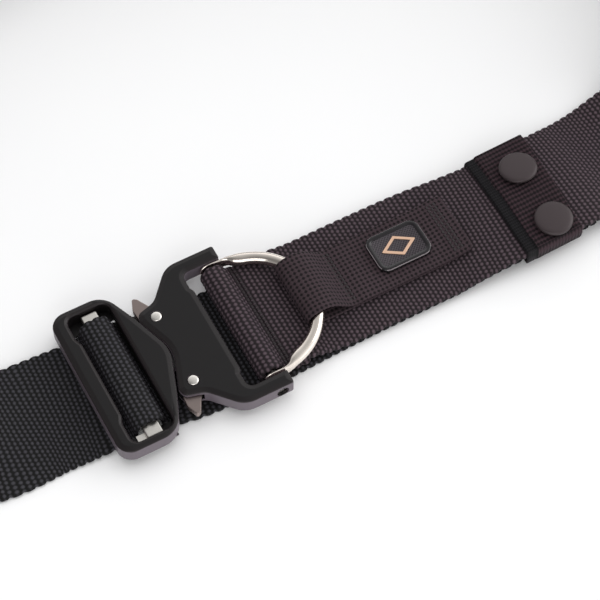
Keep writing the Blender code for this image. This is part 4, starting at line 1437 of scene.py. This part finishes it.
    def build_levers(self) -> None:
        """Make the two levers and the rivets that they turn on."""
        lay = self.layout
        corners = [(-12.9, 18.6, 0.5), (-10.6, 13.4, 2.0), (-6.6, 10.9, 2.0), (-1.4, 7.6, 0.8),
                   (-0.6, 5.2, 0.3), (1.6, 5.2, 0.3), (2.3, 9.6, 1.2), (-2.7, 12.6, 1.5),
                   (-4.8, 18.0, 1.5), (-7.3, 22.0, 1.0), (-9.6, 26.2, 1.2), (-11.3, 27.3, 0.8),
                   (-13.2, 22.6, 2.5)]
        low, high = self.pocket[0] + 0.3, self.pocket[1] - 0.3
        rims = [(0.35, low), (0.0, low + 0.4), (0.0, high - 0.4), (0.12, high - 0.12),
                (0.4, high)]
        for side, word in ((1.0, "upper"), (-1.0, "lower")):
            turned = [(x, side * y, r) for x, y, r in corners]
            pivot = (lay.rivet_x, lay.body_y + side * lay.rivet_y, 8.0)
            lever = lofted(f"lever_{word}",
                           Outline(turned, 10.0).moved(lay.buckle_x, lay.body_y), rims)
            cut(lever, round_bar("hole", pivot, "Z", self.lever_hole, 20.0))
            finish_edges(lever)
            self.finishes.dress(lever, "bronze")
            place(lever, f"lever_{word}", "lever_bronze", f"release_lever_{word}")
            rivet = domed(f"rivet_head_{word}",
                          [(1.7, lay.bottom), (2.05, lay.bottom + 0.3),
                           (2.1, lay.bottom + 0.8), (1.3, lay.bottom + 0.8),
                           (1.3, lay.top - 0.8), (2.1, lay.top - 0.8), (2.1, lay.top - 0.3),
                           (2.0, lay.top - 0.05), (1.7, lay.top + 0.12),
                           (1.2, lay.top + 0.24), (0.6, lay.top + 0.3), (0.0, lay.top + 0.32)],
                          (pivot[0], pivot[1], 0.0), sides=40)
            self.finishes.dress(rivet, "steel")
            place(rivet, BODY, "bright_steel", f"rivet_{word}")

    def build_bars(self) -> None:
        """Make the slide bar in the slot and the cross bar between the arms."""
        lay = self.layout
        x, z = self.bar_middle
        bar = box("slide_bar_steel", self.bar_size, (x, lay.frame_y, z))
        bpy.ops.object.mode_set(mode="EDIT")
        bpy.ops.mesh.select_all(action="SELECT")
        bpy.ops.mesh.bevel(offset=0.8 * MM, segments=3, affect="EDGES")
        bpy.ops.object.mode_set(mode="OBJECT")
        for side, x, length in ((-1.0, -30.0, 8.6), (1.0, -28.0, 5.0)):
            foot = box("foot", (length, *self.foot_size),
                       (x, lay.frame_y + side * self.foot_y, self.foot_z))
            cut(bar, foot, "UNION")
        finish_edges(bar, 0.25)
        self.finishes.dress(bar, "steel")
        place(bar, BODY, "bright_steel", "slide_bar")
        rod = round_bar("cross_bar_steel", (lay.bar_x, lay.body_y, lay.bar_z), "Y", *self.rod)
        finish_edges(rod, 0.4)
        self.finishes.dress(rod, "steel")
        place(rod, BODY, "bright_steel", "cross_bar")

    def build(self) -> None:
        """Make every piece of the buckle."""
        self.build_frame()
        self.build_body()
        self.build_levers()
        self.build_bars()


@dataclass
class Ring(Assembly):
    """The polished ring, with flattened ends that hold the cross bar."""

    wire: float = 4.8
    tab_y: float = 25.85
    sides: int = 32
    eye_radius: float = 2.4

    def half_rows(self) -> list[tuple]:
        """Return one half's rows of (x, y, z, thickness, height), from its tip to the bend."""
        y, wire = self.tab_y, self.wire
        return [
            (17.0, y, 7.5, 1.5, 3.4),
            (17.25, y, 7.5, 1.5, 4.8),
            (17.8, y, 7.5, 1.5, 6.2),
            (19.1, y, 7.5, 1.5, 7.6),
            (20.9, y, 7.6, 1.5, 8.0),
            (23.1, y, 7.8, 1.5, 7.3),
            (25.7, y - 0.1, 8.4, 1.5, 5.8),
            (28.1, y - 0.6, 9.1, 2.5, 4.9),
            (29.9, y - 1.6, 9.6, 4.0, wire),
            (32.0, 23.4, 9.8, wire, wire),
            (35.2, 22.2, 9.9, wire, wire),
            (38.6, 20.4, 10.1, wire, wire),
            (42.0, 17.8, 10.3, wire, wire),
            (44.9, 14.5, 10.5, wire, wire),
            (47.3, 10.5, 10.7, wire, wire),
            (49.0, 5.5, 10.8, wire, wire),
            (49.6, 0.0, 10.9, wire, wire),
        ]

    def build(self) -> None:
        """Make the ring from a round bar that is bent, with its ends pressed flat."""
        half = self.half_rows()
        rows = half + [(x, -y, z, t, h) for x, y, z, t, h in reversed(half[:-1])]
        samples = [row for _, row in spline(rows, 0, len(rows) - 1, 0.7)]
        deselect()
        bpy.ops.mesh.primitive_cylinder_add(vertices=self.sides, radius=1.0, depth=1.0,
                                            end_fill_type="NGON")
        ring = named("polished_ring")
        bpy.ops.object.mode_set(mode="EDIT")
        bpy.ops.mesh.select_all(action="SELECT")
        mesh = bmesh.from_edit_mesh(ring.data)
        upright = [e for e in mesh.edges if abs(e.verts[0].co.z - e.verts[1].co.z) > 0.5]
        bmesh.ops.subdivide_edges(mesh, edges=upright, cuts=len(samples) - 2)
        for vert in mesh.verts:
            index = round((vert.co.z + 0.5) * (len(samples) - 1))
            vert.co = self.bent(samples, index, math.atan2(vert.co.y, vert.co.x))
        bmesh.update_edit_mesh(ring.data)
        bpy.ops.object.mode_set(mode="OBJECT")
        consistent(ring)
        cut(ring, round_bar("eye", (self.layout.bar_x, 0.0, self.layout.bar_z), "Y",
                            self.eye_radius, 80.0))
        finish_edges(ring)
        self.finishes.dress(ring, "nickel")
        place(ring, BODY, "polished_nickel", "d_ring")

    def bent(self, samples: list[Row], index: int, angle: float) -> Vector:
        """Return where a point of the straight bar lies on the bent ring.

        Args:
            samples: The ring's sampled rows.
            index: The sample that the point belongs to.
            angle: The point's angle round the bar.

        Returns:
            The place in metres.
        """
        row = samples[index]
        ahead = samples[min(index + 1, len(samples) - 1)]
        behind = samples[max(index - 1, 0)]
        forward = Vector((ahead[0] - behind[0], ahead[1] - behind[1], 0.0)).normalized()
        across = Vector((-forward.y, forward.x, 0.0))
        square = 1.0 - min(1.0, row[3] / self.wire)
        reach = 1.0 + 0.2 * square * abs(math.sin(2.0 * angle))
        x, y, z, thick, high = row
        middle = Vector((x, y + self.layout.body_y, z + high / 2 * math.sin(angle)))
        return (middle + across * (thick / 2 * math.cos(angle) * reach)) * MM


@dataclass
class Badge(Assembly):
    """The rubber plate on the ring keeper, with its rim and a plain lozenge inlay."""

    centre: Point = (87.9, 1.4)
    size: Point = (22.5, 16.5)
    low: float = 7.7
    thick: float = 1.5
    rim: float = 2.1
    corner: float = 4.0
    field_depth: float = 0.45
    lozenge: Point = (7.2, 4.6)
    stroke: float = 1.1

    def corners(self) -> Outline:
        """Return the plate's rounded outline."""
        a, b, r = self.size[0] / 2, self.size[1] / 2, self.corner
        return Outline([(a, -b, r), (a, b, r), (-a, b, r), (-a, -b, r)]).moved(*self.centre)

    def outer(self, spot: Vector) -> bool:
        """Tell whether a place on the plate lies near its outer edge.

        Args:
            spot: The place in millimetres.

        Returns:
            True in the outer third of the rim.
        """
        x, y = self.centre
        margin = min(self.size[0] / 2 - abs(spot.x - x), self.size[1] / 2 - abs(spot.y - y))
        return margin < self.rim / 3

    def build(self) -> None:
        """Make the plate, its field and its inlay."""
        outline, high = self.corners(), self.low + self.thick
        plate = lofted("badge_rim", outline,
                       [(0.1, self.low), (0.0, self.low + 0.3), (0.0, high - 0.75),
                        (0.1, high - 0.4), (0.35, high - 0.12), (0.75, high), (1.2, high - 0.02),
                        (1.7, high - 0.2), (self.rim, high - self.field_depth)])
        only(plate)
        bpy.ops.object.shade_smooth_by_angle(angle=math.radians(50.0))
        self.finishes.dress(plate, "rim", "rubber", "edge_highlight")
        for face in plate.data.polygons:
            flat_field = len(face.vertices) > 4 and face.normal.z > 0.9
            # The rim's outer slopes take the pale colour of a painted highlight.
            painted_highlight_edge = 0.3 < face.normal.z < 0.8 and self.outer(face.center / MM)
            face.material_index = 1 if flat_field else 2 if painted_highlight_edge else 0
        place(plate, BODY, "badge_rubber", "badge")
        a, b = self.lozenge
        reach = Outline([(a, 0.0, 0.3), (0.0, b, 0.3), (-a, 0.0, 0.3), (0.0, -b, 0.3)],
                        20.0).moved(*self.centre)
        base = high - self.field_depth + 0.02
        mark = lofted("badge_lozenge", reach, [(0.0, base), (0.0, base + 0.22),
                                               (0.12, base + 0.3)])
        cut(mark, lofted("middle", reach, [(self.stroke, base - 1.0),
                                           (self.stroke, base + 2.0)]))
        finish_edges(mark)
        self.finishes.dress(mark, "rose")
        place(mark, BODY, "rose_gold", "badge_mark")


@dataclass
class SnapKeeper(Assembly):
    """The ribbed sleeve round the belt and the tail, with its two press-stud caps."""

    left: float = 128.2
    step: float = 132.5
    right: float = 154.8
    half: float = 23.7
    left_cut: float = 0.9
    right_cut: float = 2.2
    layer: float = 1.3
    second: float = 0.7
    pressed: float = 0.5
    rib_height: float = 0.12
    mesh_step: float = 1.5
    cap_x: float = 144.0
    cap_radius: float = 7.4

    def ring(self, above: float, below: float) -> list[Point]:
        """Return the sleeve's (y, z) section at its distances from the webbing.

        Args:
            above: Distance over the belt.
            below: Distance under the tail.

        Returns:
            The section's points.
        """
        lay = self.layout
        low = lay.keeper_tail_lift - below
        high = lay.keeper_belt_lift + lay.belt_thick + above
        middle, rise, dip, y = (low + high) / 2, (high - low) / 2, lay.keeper_dip, lay.keeper_y
        spots = [self.half * (2.0 * k / 96 - 1.0) for k in range(97)]
        ribs = [self.rib_height * math.cos(TURN * (v + self.half) / RIBS.across) for v in spots]
        top = [(y + v, high + rib + dip_rise(v, dip)) for v, rib in zip(spots, ribs)]
        under = [(y + v, low + dip_rise(v, dip)) for v in reversed(spots)]
        folds = []
        for side in (1.0, -1.0):
            angles = [side * math.pi / 2 - math.pi * k / 12 for k in range(1, 12)]
            folds.append([(y + side * self.half + self.pressed * above * math.cos(a),
                           middle + rise * math.sin(a) + dip_rise(side * self.half, dip))
                          for a in angles])
        return top + folds[0] + under + folds[1]

    def spot(self, x: float, y: float) -> Point:
        """Cut the straight sleeve's ends askew and turn it with the belt.

        Args:
            x: A point's place along the straight sleeve.
            y: Its place across.

        Returns:
            Where the point lies.
        """
        lay = self.layout
        along = (x - self.left) / (self.right - self.left)
        near = max(0.0, min(1.0, 0.5 - (y - lay.keeper_y) / (2.0 * self.half)))
        moved = x + self.left_cut * (1.0 - near) * (1.0 - along) - self.right_cut * near * along
        return moved, y + lay.keeper_turn * (moved - self.cap_x)

    def build_sleeve(self) -> None:
        """Make the sleeve as one woven shell whose rims are rounded."""
        single = self.layout.gap + self.layer
        double = single + self.second
        rows = [
            # x, outer distance, lower distance
            (self.left, single - 0.5, single - 0.5),
            (self.left + 0.25, single - 0.1, single - 0.1),
            (self.left + 0.8, single, single),
            (self.step - 0.5, single, single),
            (self.step, single + 0.1, single),
            (self.step + 0.15, double - 0.3, single),
            (self.step + 0.6, double, single),
            (self.right - 0.7, double, single),
            (self.right - 0.2, double - 0.2, single - 0.2),
            (self.right, double - 0.6, single - 0.5),
        ]
        filled = []
        for first, second in zip(rows, rows[1:]):
            count = max(1, round((second[0] - first[0]) / self.mesh_step))
            filled += [tuple(a + (b - a) * k / count for a, b in zip(first, second))
                       for k in range(count)]
        filled.append(rows[-1])
        inner = [(x, self.layout.gap, self.layout.gap) for x in (self.right, self.left)]
        rings = []
        for x, above, below in filled + inner:
            section = self.ring(above, below)
            # The ribs' own height counts for little, so that the pattern keeps their pitch.
            girth = [0.0]
            for (y0, z0), (y1, z1) in zip(section, section[1:] + section[:1]):
                girth.append(girth[-1] + math.hypot(y0 - y1, (z0 - z1) * 0.2))
            rings.append(([Vector((*self.spot(x, y), z)) for y, z in section], girth, x))
        sleeve = skin("snap_keeper_tape", rings, closed=True)
        only(sleeve)
        bpy.ops.object.shade_smooth_by_angle(angle=math.radians(50.0))
        self.finishes.dress(sleeve, "snap", "border_and_shade")
        # Left of the step the single layer gets the border colour: partly its own dark edge,
        # partly painted shade beside the raised outer layer.
        for face in sleeve.data.polygons:
            if face.center.x < (self.step + 0.1) * MM:
                face.material_index = 1
        place(sleeve, BODY, "snap_webbing", "snap_keeper")

    def build_caps(self) -> None:
        """Make the two caps as shallow domes with a rolled rim."""
        lay, r = self.layout, self.cap_radius
        profile = [(r - 0.9, 0.0), (r - 0.3, 0.25), (r, 0.65), (r + 0.05, 1.0),
                   (r + 0.02, 1.3), (r - 0.12, 1.6), (r - 0.4, 1.88), (r - 0.85, 2.08),
                   (r - 1.6, 2.22), (r - 2.8, 2.33), (r * 0.35, 2.44), (0.0, 2.48)]
        for word, across, degrees in (("upper", 9.2, 8.0), ("lower", -16.6, 0.0)):
            surface = (lay.keeper_belt_lift + lay.belt_thick + lay.gap + self.layer
                       + self.second + dip_rise(across, lay.keeper_dip))
            tilt = -math.radians(degrees)
            lift = lay.gap + r * abs(math.sin(tilt)) * 0.5
            cap = domed(f"cap_{word}", profile,
                        (self.cap_x, lay.keeper_y + across, surface + lift), tilt)
            self.finishes.dress(cap, "cap")
            place(cap, BODY, "gunmetal_cap", f"snap_cap_{word}")

    def build(self) -> None:
        """Make the sleeve and the caps."""
        self.build_sleeve()
        self.build_caps()


@dataclass
class Studio:
    """The pale floor, the soft lights and the camera."""

    target: Place = (46.5, 2.6, 0.0)
    azimuth: float = -28.3
    elevation: float = 60.0
    distance: float = 825.0
    lens: float = 132.0
    wall_light: float = 1.1
    ceiling_light: float = 0.42
    window_light: Point = (0.35, 1.6)
    window_way: Point = (0.9, 0.2)

    def build(self) -> None:
        """Set the stage."""
        self.floor()
        self.camera()
        # The overhead light would whiten flat metal, so only the others are mirrored in it.
        self.light("overhead", (-0.1, 0.25, 1.5), 1.6, 11.0, mirrored_too=False)
        self.light("front", (-0.5, -0.95, 0.6), 0.9, 4.0)
        self.light("side", (1.1, -0.1, 0.7), 0.8, 3.0)
        self.room()
        bpy.context.scene.view_settings.view_transform = "Standard"

    def room(self) -> None:
        """Light the room from its pale walls, with a darker ceiling that flat metal mirrors."""
        world = bpy.data.worlds.new("soft_room")
        world.use_nodes = True
        tree = world.node_tree
        back = tree.nodes["Background"]
        way = add_node(tree, "TexCoord").outputs["Generated"]
        rise = add_node(tree, "SeparateXYZ", {0: way}).outputs[2]
        glow = add_node(tree, "MapRange", {0: rise, 2: 0.9, 3: self.wall_light,
                                           4: self.ceiling_light})
        toward = add_node(tree, "VectorMath", {0: way, 1: (*self.window_way, 0.0)},
                          operation="DOT_PRODUCT").outputs["Value"]
        window = add_node(tree, "MapRange", {0: toward, 1: -0.7, 2: 0.7,
                                             3: self.window_light[0],
                                             4: self.window_light[1]},
                          interpolation_type="SMOOTHSTEP")
        strength = add_node(tree, "Math", {0: glow.outputs[0], 1: window.outputs[0]},
                            operation="MULTIPLY")
        back.inputs[0].default_value = (1.0, 1.0, 1.0, 1.0)
        tree.links.new(strength.outputs[0], back.inputs[1])
        bpy.context.scene.world = world

    def floor(self) -> None:
        """Lay a plain floor."""
        deselect()
        bpy.ops.mesh.primitive_plane_add(size=6.0, location=(0.0, 0.0, 0.0))
        floor = named("floor")
        floor.data.materials.append(WhiteBoard().material())

    def light(self, name: str, spot: Place, size: float, power: float,
              mirrored_too: bool = True) -> None:
        """Hang a square soft light that points at the buckle.

        Args:
            name: The light's name.
            spot: Its place in metres.
            size: Its side in metres.
            power: Its power in watts.
            mirrored_too: Whether polished metal mirrors it.
        """
        data = bpy.data.lights.new(name, "AREA")
        data.size, data.energy = size, power
        lamp = bpy.data.objects.new(name, data)
        bpy.context.collection.objects.link(lamp)
        lamp.visible_glossy = mirrored_too
        aim = Vector(self.target) * MM - Vector(spot)
        lamp.matrix_world = (Matrix.Translation(spot)
                             @ aim.to_track_quat("-Z", "Y").to_matrix().to_4x4())

    def camera(self) -> None:
        """Place the camera at the photograph's angle for a square image."""
        a, e = math.radians(self.azimuth), math.radians(self.elevation)
        right = Vector((math.cos(a), math.sin(a), 0.0))
        up = Vector((-math.sin(a) * math.sin(e), math.cos(a) * math.sin(e), math.cos(e)))
        back = right.cross(up)
        data = bpy.data.cameras.new("camera")
        data.lens, data.sensor_width, data.sensor_fit = self.lens, 36.0, "HORIZONTAL"
        data.clip_start, data.clip_end = 0.05, 20.0
        camera = bpy.data.objects.new("camera", data)
        bpy.context.collection.objects.link(camera)
        turn = Matrix((right, up, back)).transposed().to_4x4()
        spot = (Vector(self.target) + back * self.distance) * MM
        camera.matrix_world = Matrix.Translation(spot) @ turn
        bpy.context.scene.camera = camera


def main() -> None:
    """Build the belt in order."""
    logging.basicConfig(level=logging.INFO, format="%(name)s %(message)s")
    Studio().build()
    finishes = Finishes()
    finishes.make()
    layout = Layout()
    for assembly in (MainBelt, AdjustingStrap, RingKeeper, Seams, Buckle, Ring, Badge,
                     SnapKeeper):
        assembly(layout, finishes).build()


if __name__ == "__main__":
    main()
